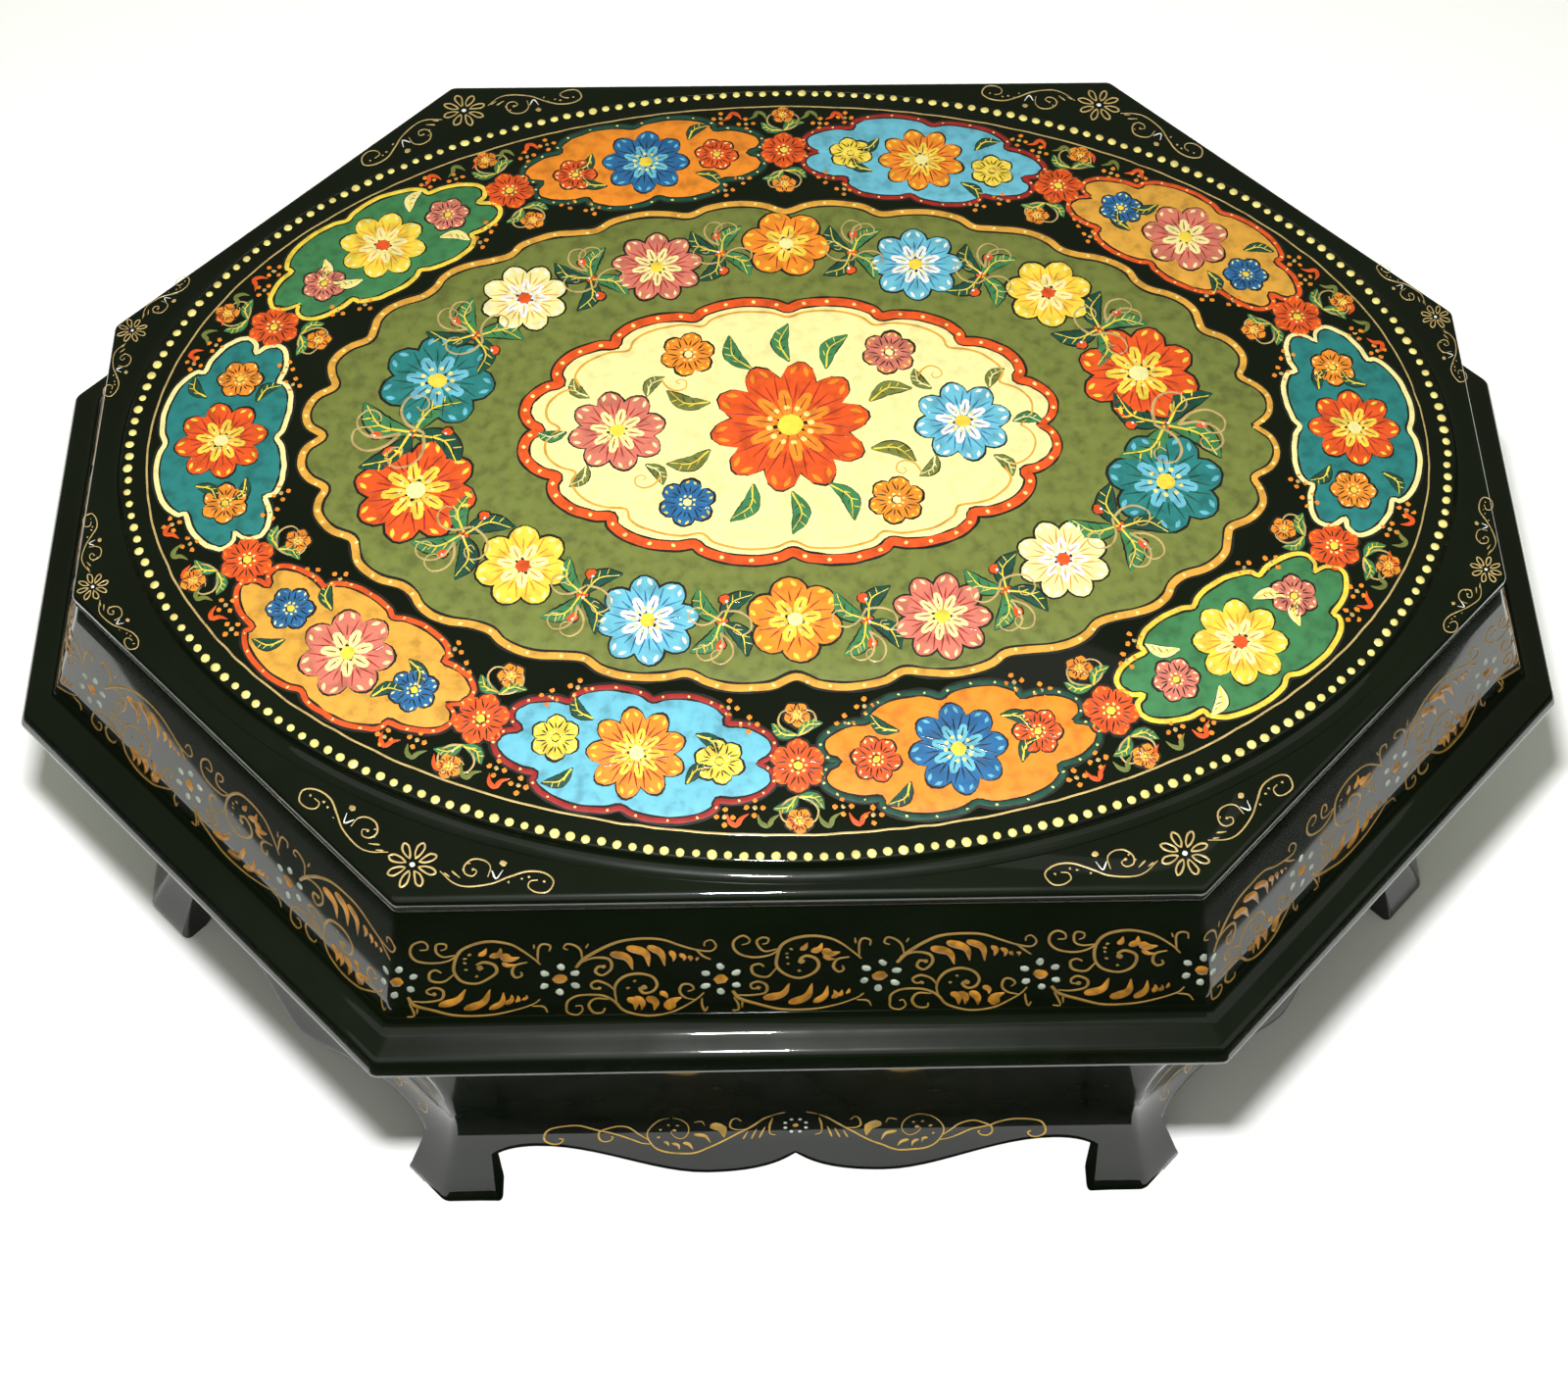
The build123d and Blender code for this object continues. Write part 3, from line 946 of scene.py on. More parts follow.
@dataclass
class Moulding:
    """Course that caps the stand: nose, weathering and cove under one skin of lacquer."""

    spread: float = 16.0 * MM
    nose: Pair = (14.4 * MM, 3.6 * MM)
    cove: Pair = (11.2 * MM, 4.3 * MM)
    frieze_spread: float = 8.5 * MM
    wall_inset: float = 8.0 * MM
    nose_shares: Handles = ((0.28, 0.4), (0.6, 0.84))
    band_shares: Handles = ((0.33, 0.36), (0.67, 0.7))
    cove_shares: Handles = ((0.5, 0.12), (0.93, 0.5))
    rim: Pair = (0.3 * MM, 0.4 * MM)
    arris: float = 0.3 * MM
    mitre: float = 0.7 * MM
    curve_steps: int = 10
    band_steps: int = 4

    def profile(self) -> list[Pair]:
        """Outer profile from the lower arris up to the foot of the frieze."""
        base = LEVELS.stand_top
        low = (self.spread - self.arris, base + self.arris)
        start, end = (low[1] + height for height in self.rim)
        nose, cove = (self.nose[0], base + self.nose[1]), (self.cove[0], base + self.cove[1])
        foot = (self.frieze_spread, LEVELS.moulding_top)
        return [
            *arc(low, self.arris, -90, 0, ARRIS_STEPS), (self.spread, start),
            *sweep((self.spread, end), nose, self.nose_shares, self.curve_steps),
            *sweep(nose, cove, self.band_shares, self.band_steps)[1:],
            *sweep(cove, foot, self.cove_shares, self.curve_steps)[1:],
        ]

    def build(self) -> Piece:
        """Draws the course up, opens its well and softens its mitres."""
        piece = draw_up("moulding", PLAN, self.profile())
        open_well(piece, (self.frieze_spread, LEVELS.moulding_top),
                  (self.spread - self.arris, LEVELS.stand_top), -self.wall_inset)
        soften_mitres(piece, self.mitre, self.frieze_spread - MITRE_MARGIN)
        mode("OBJECT")
        smooth(piece)
        return piece


@dataclass
class Frieze:
    """Sloping walls of the case under one skin of lacquer, with gains for the hinges."""

    spread: float = 8.5 * MM
    top_inset: float = 0.4 * MM
    wall_inset: float = 8.0 * MM
    mitre: float = 0.7 * MM
    arris: float = 0.25 * MM
    rows: int = 6

    def build(self) -> Piece:
        """Draws the walls up, opens the well and cuts the hinge gains."""
        foot, top = LEVELS.moulding_top, LEVELS.case_top
        shares = [row / self.rows for row in range(self.rows + 1)]
        profile = [(self.spread - share * (self.spread + self.top_inset), foot + share * (top - foot))
                   for share in shares]
        piece = draw_up("frieze", PLAN, profile)
        open_well(piece, (-self.top_inset, top), (self.spread, foot), -self.wall_inset)
        soften_mitres(piece, self.mitre, -MITRE_MARGIN)
        mode("OBJECT")
        cut_gains(piece, "hinge_case_leaf", (top - GAIN_DEPTH, top + MM))
        soften(piece, self.arris)
        return piece


def cut_gains(piece: Piece, leaf: str, levels: Pair) -> None:
    """Cuts the shallow recesses that the left and the right hinge leaf lie in.

    Args:
        piece: Solid that is cut.
        leaf: CAD nodes of the leaves, without left or right.
        levels: Levels between which the recesses are cut.
    """
    for hand in ("left", "right"):
        low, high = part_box(f"{leaf}_{hand}")
        start = Vector((low.x - GAIN_FIT, low.y - GAIN_FIT, levels[0]))
        end = Vector((high.x + GAIN_FIT, high.y + MM, levels[1]))
        deselect()
        bpy.ops.mesh.primitive_cube_add(size=1.0, location=(start + end) / 2, scale=end - start)
        cut_away(piece)


@dataclass
class LidPlate:
    """Octagonal plate of the lid: thin lip, rounded edge and oval hollow below."""

    lip_height: float = 0.9 * MM
    lip_step: float = 0.1 * MM
    arris: float = 0.3 * MM
    edge_radius: float = 1.4 * MM
    edge_steps: int = 8
    hollow: Pair = (94.2 * MM, 66.5 * MM)
    mitre: float = 0.6 * MM
    mitre_reach: float = 20.0 * MM
    cut_arris: float = 0.12 * MM
    cut_angle: float = 60.0

    def build(self) -> Piece:
        """Draws the plate up, rounds its corners and cuts the hollow and the gains."""
        bottom, top = LEVELS.lid_bottom, LEVELS.plate_top
        lip_top = bottom + self.lip_height
        centre = (-self.lip_step - self.edge_radius, top - self.edge_radius)
        low = (-self.arris, bottom + self.arris)
        profile = [*arc(low, self.arris, -90, 0, ARRIS_STEPS), (0.0, lip_top),
                   (-self.lip_step, lip_top + self.lip_step),
                   *arc(centre, self.edge_radius, 0, 90, self.edge_steps)]
        piece = draw_up("lid_plate_skin", PLAN, profile)
        soften_mitres(piece, self.mitre, -self.mitre_reach)
        mode("OBJECT")
        deselect()
        bpy.ops.mesh.primitive_cylinder_add(vertices=128, radius=1.0, depth=0.1, location=(0, 0, top),
                                            scale=(*self.hollow, 1.0))
        cut_away(piece)
        cut_gains(piece, "hinge_lid_leaf", (bottom - MM, bottom + GAIN_DEPTH))
        soften(piece, self.cut_arris, self.cut_angle)
        return piece


def ball_radius(radius: float, rise: float) -> float:
    """Radius of the ball that a shallow dome is cut from."""
    return (radius ** 2 + rise ** 2) / (2 * rise)


def dome_rings(radius: float, rise: float, base: float, steps: int) -> list[Pair]:
    """Rings of a shallow dome from its edge up to near its middle."""
    ball = ball_radius(radius, rise)
    shares = [1 - step / steps for step in range(steps)]
    return [(radius * s, base + rise - ball + math.sqrt(ball ** 2 - (radius * s) ** 2)) for s in shares]


@dataclass
class Dome:
    """Gently domed oval panel, which rises from the plate through a step and a cove."""

    foot: float = 117.6 * MM
    ratio: float = 83.0 / 117.6
    step: float = 0.3 * MM
    cove_width: float = 3.2 * MM
    cove_height: float = 1.6 * MM
    cove_shares: Handles = ((0.0, 0.55), (0.45, 1.0))
    nose_radius: float = 0.8 * MM
    rise: float = 3.5 * MM
    hollow: float = 94.2 * MM
    hollow_rise: float = 2.4 * MM
    cove_steps: int = 8
    nose_steps: int = 6
    dome_steps: int = 26
    hollow_steps: int = 12

    def __post_init__(self) -> None:
        """Works out the edge, the ball radius and the crown of the dome."""
        self.edge = self.foot - self.cove_width - self.nose_radius
        self.ball = ball_radius(self.edge, self.rise)
        self.crown = LEVELS.plate_top + self.step + self.cove_height + self.nose_radius + self.rise

    def height(self, x: np.ndarray, y: np.ndarray) -> np.ndarray:
        """Level of the dome's surface over places in the plan."""
        reach = x ** 2 + (y / self.ratio) ** 2
        return self.crown - self.ball + np.sqrt(np.maximum(self.ball ** 2 - reach, 0))

    def build(self) -> Piece:
        """Draws the panel up from a plain underside, then bosses the hollow into it."""
        base = LEVELS.plate_top
        cove_top = (self.foot - self.cove_width, base + self.step + self.cove_height)
        cove = sweep(cove_top, (self.foot, base + self.step), self.cove_shares, self.cove_steps)[::-1]
        nose = arc((self.edge, cove_top[1]), self.nose_radius, 0, 90, self.nose_steps)
        dome = dome_rings(self.edge, self.rise, cove_top[1] + self.nose_radius, self.dome_steps)
        piece = draw_up("oval_panel_skin", Oval(self.ratio), [(self.foot, base), *cove, *nose[1:], *dome[1:]])
        bpy.ops.mesh.merge(type="CENTER")
        select_level(piece, base)
        hollow = dome_rings(self.hollow, self.hollow_rise, base, self.hollow_steps)
        draw_on(piece, Oval(self.ratio), [(self.foot, base), *hollow])
        bpy.ops.mesh.merge(type="CENTER")
        mode("OBJECT")
        smooth(piece)
        return piece


@dataclass(frozen=True)
class Rib:
    """One upright line of the stand, from a point of its scalloped edge to its top.

    The place along the side is run + share * (distance from the foot to the mitre).
    """

    run: float
    share: float
    level: float
    inward: Pair
    top_run: float
    top_share: float

    def place(self, rise: float) -> Pair:
        """Run and share at a part of the way up."""
        return (self.run + rise * (self.top_run - self.run),
                self.share + rise * (self.top_share - self.share))

    def mirrored(self) -> "Rib":
        """The same rib on the other half of its side."""
        return Rib(-self.run, -self.share, self.level, (-self.inward[0], self.inward[1]),
                   -self.top_run, -self.top_share)


@dataclass
class Stand:
    """Cabriole stand: eight curved boards with scalloped edges and bracket feet."""

    spread: float = 12.0 * MM
    waist_spread: float = 2.5 * MM
    waist: float = 22.0 * MM
    toe_spread: float = 11.5 * MM
    toe_land: float = 1.5 * MM
    toe_thickness: float = 6.0 * MM
    wall_inset: float = 8.0 * MM
    ledge: float = 12.0 * MM
    ledge_levels: Pair = (26.0 * MM, 30.0 * MM)
    foot_width: float = 9.5 * MM
    arch_spring: float = 8.5 * MM
    arch_height: float = 12.4 * MM
    arch_reach: float = 9.0 * MM
    lobe_height: float = 5.9 * MM
    lobe_place: float = 17.0 * MM
    cusp_height: float = 9.8 * MM
    pendant_height: float = 5.0 * MM
    toe_shares: Handles = ((0.33, 0.29), (0.88, 0.55))
    toe_flare: float = 1.6 * MM
    flare_shares: Handles = ((0.0, 0.27), (0.37, 0.64))
    inner_shares: Handles = ((0.41, 0.15), (0.46, 0.54))
    arch_shares: Handles = ((0.0, 0.6), (0.45, 1.0))
    lobe_shares: Handles = ((0.33, 0.0), (0.67, 1.0))
    cusp_shares: Handles = ((0.47, 0.0), (0.8, 0.33))
    pendant_shares: Handles = ((0.33, 0.04), (0.81, 1.0))
    sole_shares: tuple[float, ...] = (1.0, 0.75, 0.5, 0.28)
    heel_share: float = 0.16
    heel_steps: int = 4
    edge_radius: float = 1.5 * MM
    outer_bead: tuple[Pair, ...] = ((0.62, 0.08), (0.29, 0.29), (0.08, 0.62), (0.0, 1.0))
    inner_bead: tuple[Pair, ...] = ((0.0, 0.6), (0.2, 0.2))
    mitre: float = 0.8 * MM
    mitre_slack: float = 1.1
    shade_angle: float = 50.0
    table_steps: int = 60
    rows: int = 30
    row_power: float = 1.35
    inner_rows: int = 8

    def __post_init__(self) -> None:
        """Tabulates the outer and inner faces by level."""
        toe, waist = (self.toe_spread, self.toe_land), (self.waist_spread, self.waist)
        top = (self.spread, LEVELS.stand_top)
        heel, ledge = (self.toe_spread - self.toe_thickness, 0.0), (-self.ledge, self.ledge_levels[0])
        self.outer = np.array([(self.toe_spread, 0.0),
                               *sweep(toe, waist, self.toe_shares, self.table_steps),
                               *sweep(waist, top, self.flare_shares, self.table_steps)[1:]])
        self.inner = np.array(sweep(heel, ledge, self.inner_shares, self.table_steps))

    def outer_spread(self, level: np.ndarray | float) -> np.ndarray | float:
        """Spread of the outer face at a level."""
        return np.interp(level, self.outer[:, 1], self.outer[:, 0])

    def inner_spread(self, level: float) -> float:
        """Spread of the inner face below the ledge at a level."""
        return float(np.interp(level, self.inner[:, 1], self.inner[:, 0]))

    def edge_line(self, long_side: bool, foot: float) -> list[Pair]:
        """Scalloped lower edge from the foot to the middle of one side."""
        peak = (foot - self.arch_reach, self.arch_height)
        line = sweep((foot, self.arch_spring), peak, self.arch_shares, 10)
        if long_side:
            lobe = (self.lobe_place, self.lobe_height)
            line += sweep(peak, lobe, self.lobe_shares, 12)[1:]
            line += sweep(lobe, (0.0, self.cusp_height), self.cusp_shares, 12)[1:]
        else:
            line += sweep(peak, (0.0, self.pendant_height), self.pendant_shares, 16)[1:]
        return line

    def half_ribs(self, index: int) -> list[Rib]:
        """Ribs of one half of a side, from its mitre to its middle."""
        half = PLAN.side(index).half_at(self.toe_spread)
        foot = half - self.foot_width
        ribs = [Rib(foot, share, 0.0, (0.0, 1.0), foot, share) for share in self.sole_shares]
        line = self.edge_line(SIDES[index] in ("front", "back"), foot)
        rise = self.arch_spring / self.heel_steps
        for step in range(self.heel_steps):
            flare = self.toe_flare * (1 - step / self.heel_steps) ** 2
            share = self.heel_share * (1 - step / self.heel_steps)
            inward = (1.0, 0.0) if step else (0.7, 0.7)
            ribs.append(Rib(foot - flare, 0.0, step * rise, inward, foot, share))
        for number, (run, level) in enumerate(line):
            ahead, behind = line[min(number + 1, len(line) - 1)], line[max(number - 1, 0)]
            step = Vector((ahead[0] - behind[0], ahead[1] - behind[1])).normalized()
            inward = (step.y, -step.x) if number < len(line) - 1 else (0.0, 1.0)
            ribs.append(Rib(run, 0.0, level, inward, run, 0.0))
        return ribs

    def section(self, rib: Rib) -> list[tuple[float, float, float, float]]:
        """Closed section of the stand along one rib, as run, share, spread and level."""
        top, radius = LEVELS.stand_top, self.edge_radius
        points = []

        def near_edge(depth: float) -> Triple:
            """Run, share and level at a depth inside the edge."""
            return (rib.run + rib.inward[0] * depth, rib.share, rib.level + rib.inward[1] * depth)

        start = near_edge(radius)
        for row in range(self.rows, -1, -1):
            rise = (row / self.rows) ** self.row_power
            level = start[2] + rise * (top - start[2])
            run, share = rib.place(rise)
            run += rib.inward[0] * radius * (1 - rise)
            points.append((run, share, float(self.outer_spread(level)), level))
        for depth, back in self.outer_bead:
            run, share, level = near_edge(depth * radius)
            points.append((run, share, float(self.outer_spread(level)) - back * radius, level))
        for depth, back in self.inner_bead:
            run, share, level = near_edge(depth * radius)
            points.append((run, share, self.inner_spread(level) + back * radius, level))
        low, high = self.ledge_levels
        for step in range(self.inner_rows + 1):
            level = start[2] + (low - start[2]) * step / self.inner_rows
            points.append((start[0], start[1], self.inner_spread(level), level))
        for inset, level in ((self.ledge, high), (self.wall_inset, high), (self.wall_inset, top)):
            points.append((start[0], start[1], -inset, level))
        return points

    def build(self) -> Piece:
        """Draws a grid out to the section of each rib, closes it and rounds the mitres."""
        ribs: list[tuple[int, Rib]] = []
        for index in range(CORNERS):
            half = self.half_ribs(index)
            ribs += [(index, rib.mirrored()) for rib in half]
            ribs += [(index, rib) for rib in half[-2:0:-1]]
        ribs.append(ribs[0])
        places = []
        for index, rib in ribs:
            side = PLAN.side(index)
            foot = side.half_at(self.toe_spread) - self.foot_width
            section = self.section(rib)
            for run, share, spread, level in [*section, section[0]]:
                along = run + share * (side.half_at(spread) - foot)
                place = side.middle + side.along * along + side.outward * spread
                places.append((place.x, place.y, level))
        piece = weave(np.array(places), len(ribs), 0.001 * MM)
        piece.name = piece.data.name = "stand_skin"
        select_parts(piece, "edges", lambda edge: all(self.on_arris(vert.co) for vert in edge.verts))
        bpy.ops.mesh.bevel(offset=self.mitre, offset_type="OFFSET", segments=3, affect="EDGES")
        mode("OBJECT")
        smooth(piece, self.shade_angle)
        return piece

    def on_arris(self, place: Vector) -> bool:
        """Whether a point lies on an outer mitre line."""
        shy = self.outer_spread(place.z) - PLAN.spread_at(place)
        return PLAN.on_mitre(place) and shy < self.mitre_slack * self.edge_radius


class FlatSheet:
    """Top of the lid plate."""

    def lay(self, points: np.ndarray) -> np.ndarray:
        """Lays points on the plate."""
        places = points * MM
        places[:, 2] += LEVELS.plate_top
        return places


@dataclass
class DomeSheet:
    """Face of the oval panel."""

    dome: Dome

    def lay(self, points: np.ndarray) -> np.ndarray:
        """Lays points on the dome."""
        places = points * MM
        places[:, 2] += self.dome.height(places[:, 0], places[:, 1])
        return places


@dataclass
class WallSheet:
    """Upright or sloping walls, measured round the box from the middle of the front.

    Attributes:
        middle: Spread at which the distance round the box is measured.
    """

    middle: float

    def __post_init__(self) -> None:
        """Tabulates the eight sides."""
        sides = [PLAN.side(index) for index in range(CORNERS)]
        self.middles, self.alongs, self.outwards = (
            np.array([getattr(side, name)[:] for side in sides]) for name in ("middle", "along", "outward"))
        self.halves = np.array([side.half for side in sides])
        self.reaches = self.halves + self.middle * MITRE_GROWTH
        self.starts = np.concatenate(((0.0,), 2 * self.reaches.cumsum())) - self.reaches[0]
        self.length = 2 * self.reaches.sum()

    def wrap(self, across: np.ndarray, spread: np.ndarray, level: np.ndarray) -> np.ndarray:
        """Places of points round the box.

        Args:
            across: Distances from the middle of the front.
            spread: Spread of each point.
            level: Level of each point.

        Returns:
            Rows of three coordinates.
        """
        run = (across - self.starts[0]) % self.length + self.starts[0]
        side = np.searchsorted(self.starts, run, side="right") - 1
        side = np.clip(side, 0, CORNERS - 1)
        share = (run - self.starts[side]) / self.reaches[side] - 1
        half = self.halves[side] + spread * MITRE_GROWTH
        places = (self.middles[side] + self.alongs[side] * (share * half)[:, None]
                  + self.outwards[side] * spread[:, None])
        places[:, 2] = level
        return places


@dataclass
class FriezeSheet(WallSheet):
    """Sloping walls of the case, measured up the slope from its foot."""

    frieze: Frieze = field(default_factory=Frieze)

    def lay(self, points: np.ndarray) -> np.ndarray:
        """Lays points on the slope."""
        run, rise = self.frieze.spread + self.frieze.top_inset, LEVELS.case_top - LEVELS.moulding_top
        slope = math.hypot(run, rise)
        part = points[:, 1] * MM / slope
        height = points[:, 2] * MM
        spread = self.frieze.spread - part * run + height * rise / slope
        return self.wrap(points[:, 0] * MM, spread, LEVELS.moulding_top + part * rise + height * run / slope)


@dataclass
class StandSheet(WallSheet):
    """Curved boards of the stand, measured by level from the floor."""

    stand: Stand = field(default_factory=Stand)

    def lay(self, points: np.ndarray) -> np.ndarray:
        """Lays points on the boards."""
        level = points[:, 1] * MM
        return self.wrap(points[:, 0] * MM, self.stand.outer_spread(level) + points[:, 2] * MM, level)


# Ornament, in millimetres of its own sheet


def ring(count: int, radius: float, first: float = 0.0) -> list[Triple]:
    """Evenly turned places on a circle, each with its angle in radians."""
    angles = [first + math.tau * step / count for step in range(count)]
    return [(radius * math.cos(a), radius * math.sin(a), a) for a in angles]


FEATHER_MODULE = Motif(
    strokes=(
        Stroke(Taper.LINE, 0.55, ((-9.6, 15.5), (-8.5, 15.8), (-8.4, 16.8), (-9.5, 17.5), (-10.8, 16.8),
            (-11, 15), (-9.9, 13.4), (-7.5, 12.6), (-5, 13.2), (-3.1, 14.8))),
        Stroke(Taper.LINE, 0.5, ((-6.2, 15.5), (-5.4, 15.8), (-5.4, 16.8), (-6.2, 17.1), (-7, 16.5),
            (-6.9, 15), (-5.8, 14), (-3.8, 14.4))),
        Stroke(Taper.BRUSH, 0.7, ((10, 11.9), (9, 13.2), (7, 15.2), (5, 16.6), (2, 17.2), (-1, 16.8),
            (-3, 15.2), (-3.8, 13), (-3.8, 10.5), (-2.5, 8.5), (-0.2, 7.8), (2, 8.8), (3, 10.5), (2.5,
            12), (1, 12.8), (-0.2, 12.1))),
        Stroke(Taper.LINE, 0.6, ((-4, 10), (-5.5, 8.2), (-7.5, 8.8), (-7.8, 10.5), (-6.8, 11.1), (-6,
            10.5))),
        Stroke(Taper.LINE, 0.5, ((9.5, 12.5), (9.6, 15.5), (10.2, 16.5), (11.5, 16.2), (11.4, 15))),
        Stroke(Taper.TICK, 0.5, ((9, 15.5), (8.9, 16.5))),
        Stroke(Taper.LINE, 0.6, ((8, 12.5), (6, 11.8), (5.4, 10.2), (6.2, 9.1), (7.1, 9.6), (6.9, 10.4))),
        Stroke(Taper.STEM, 0.8, ((-11, 5), (-9.8, 3.2), (-7, 1.8), (-3, 0.5), (2, 0.5), (6, 1.5), (9,
            2.8), (10.2, 4.1))),
        Stroke(Taper.LINE, 0.6, ((-10.2, 4), (-8, 3.8), (-5.8, 4.5), (-5.4, 6.2), (-6.8, 7.1), (-8, 6.5),
            (-7.8, 5.5), (-6.9, 5.5))),
        Stroke(Taper.LINE, 0.5, ((-10.8, 3.5), (-10.1, 2), (-9.9, 0.5), (-11, 0.5))),
        Stroke(Taper.TICK, 0.5, ((-9.5, 2.5), (-9.4, 1))),
        Stroke(Taper.LINE, 0.5, ((9, 2.5), (10.8, 2.2), (11.5, 1))),
    ),
    leaves=((-0.1, 14.2, 1, 15.7, 0.9), (1.8, 13.8, 3.5, 15.8, 1.1), (3.6, 14.2, 6.5, 13.6, 1.4),
            (3.8, 12.7, 6, 12.1, 0.8), (-5.8, 3, -1.8, 6.6, 1.4), (-1.8, 2, 2, 6.4, 1.4),
            (2.2, 1.9, 4.4, 5.8, 1.1), (5, 3, 5.6, 5, 0.9), (6.2, 3.4, 6.7, 4.9, 0.7),
            (7.4, 3.9, 7.8, 5.1, 0.6)),
    dots=((0.2, 11.4, 1.2), (-6.8, 5.6, 0.9), (-1.6, 14.4, 0.6), (-2.2, 13.4, 0.5), (-2.2, 12.5, 0.5),
          (-2, 11, 0.5), (-0.2, 9.4, 0.6)),
)

ARCH_MODULE = Motif(
    strokes=(
        Stroke(Taper.STEM, 0.8, ((-10.5, 11), (-9, 13), (-6.5, 15.2), (-3.5, 16.8), (0, 17.4), (3.5, 17),
            (6.5, 15.8), (9, 14.8), (11.5, 14.4), (12.4, 15.5), (11.5, 16.8), (10.5, 16.5), (10.5,
            15.6))),
        Stroke(Taper.LINE, 0.5, ((9, 14.8), (10.5, 13.2), (11.5, 12.5))),
        Stroke(Taper.LINE, 0.5, ((-9.5, 13), (-9.8, 15), (-10.8, 16.2), (-12.2, 16.5), (-12.6, 15.5),
            (-11.8, 15))),
        Stroke(Taper.TICK, 0.5, ((-9, 15.5), (-8.6, 16.5))),
        Stroke(Taper.BRUSH, 0.65, ((-10, 12.2), (-7.5, 13.2), (-5.2, 12.8), (-4.8, 10.8), (-6, 9.2),
            (-7.2, 10), (-6.8, 11.2), (-6, 11.2))),
        Stroke(Taper.LINE, 0.6, ((-10.2, 2.1), (-9.5, 2.2), (-9.1, 1), (-10, 0), (-11.5, 0.5), (-11.8,
            2), (-11.5, 3.5), (-10, 4.5), (-7.5, 4.8), (-5.5, 4.4), (-3.8, 3), (-2.5, 1.2), (-0.5, 0),
            (2, -0.4), (5, 0.2), (7.5, 1.8), (9.5, 3.5), (10.5, 4.9))),
        Stroke(Taper.BRUSH, 0.7, ((-3.8, 3), (-4, 5), (-3.8, 7), (-2.5, 8.8), (-0.2, 9.5), (2, 8.8),
            (2.9, 7), (2.2, 5.2), (0.8, 5), (0, 6), (0.6, 6.4))),
        Stroke(Taper.LINE, 0.6, ((-4, 5.8), (-5, 7.2), (-6.8, 7.9), (-7.9, 7.2), (-7.5, 6.1), (-6.6,
            6.2))),
        Stroke(Taper.LINE, 0.6, ((-5, 3.5), (-7.2, 3.8), (-8.1, 2.2), (-7.2, 0.5), (-5.8, 0.5), (-5.5,
            1.5))),
        Stroke(Taper.LINE, 0.55, ((9.2, 3.2), (7.5, 3.8), (6.5, 5.2), (7, 6.8), (8.2, 6.9), (8.8, 5.8),
            (8, 5.2))),
        Stroke(Taper.LINE, 0.5, ((10.2, 3.5), (10.2, 2), (10.8, 0.5), (11.2, 1.5))),
    ),
    leaves=((-5, 14.2, -1.2, 10.5, 1.4), (-2.2, 15.5, 1.5, 11.1, 1.4), (1, 15.6, 3.9, 11.2, 1.2),
            (4.9, 14.4, 5.4, 12.2, 0.9), (6.5, 13.9, 7, 12.2, 0.8), (7.9, 13.4, 8.2, 12.2, 0.7),
            (9, 13, 9.3, 12.2, 0.6), (-2, 3.8, -0.6, 1.1, 1.2), (-0.6, 4, 0.5, 0.9, 1.2),
            (1.4, 4, 2.5, 0.8, 1.3), (3.5, 5.2, 4.5, 3.4, 1), (4.9, 1, 6.9, 3.8, 1.7)),
    dots=((-5.9, 11.2, 0.9), (0.8, 6.3, 1.1), (-0.8, 7.8, 0.6), (-1.9, 6.2, 0.6), (-6.5, 6.2, 0.8)),
)

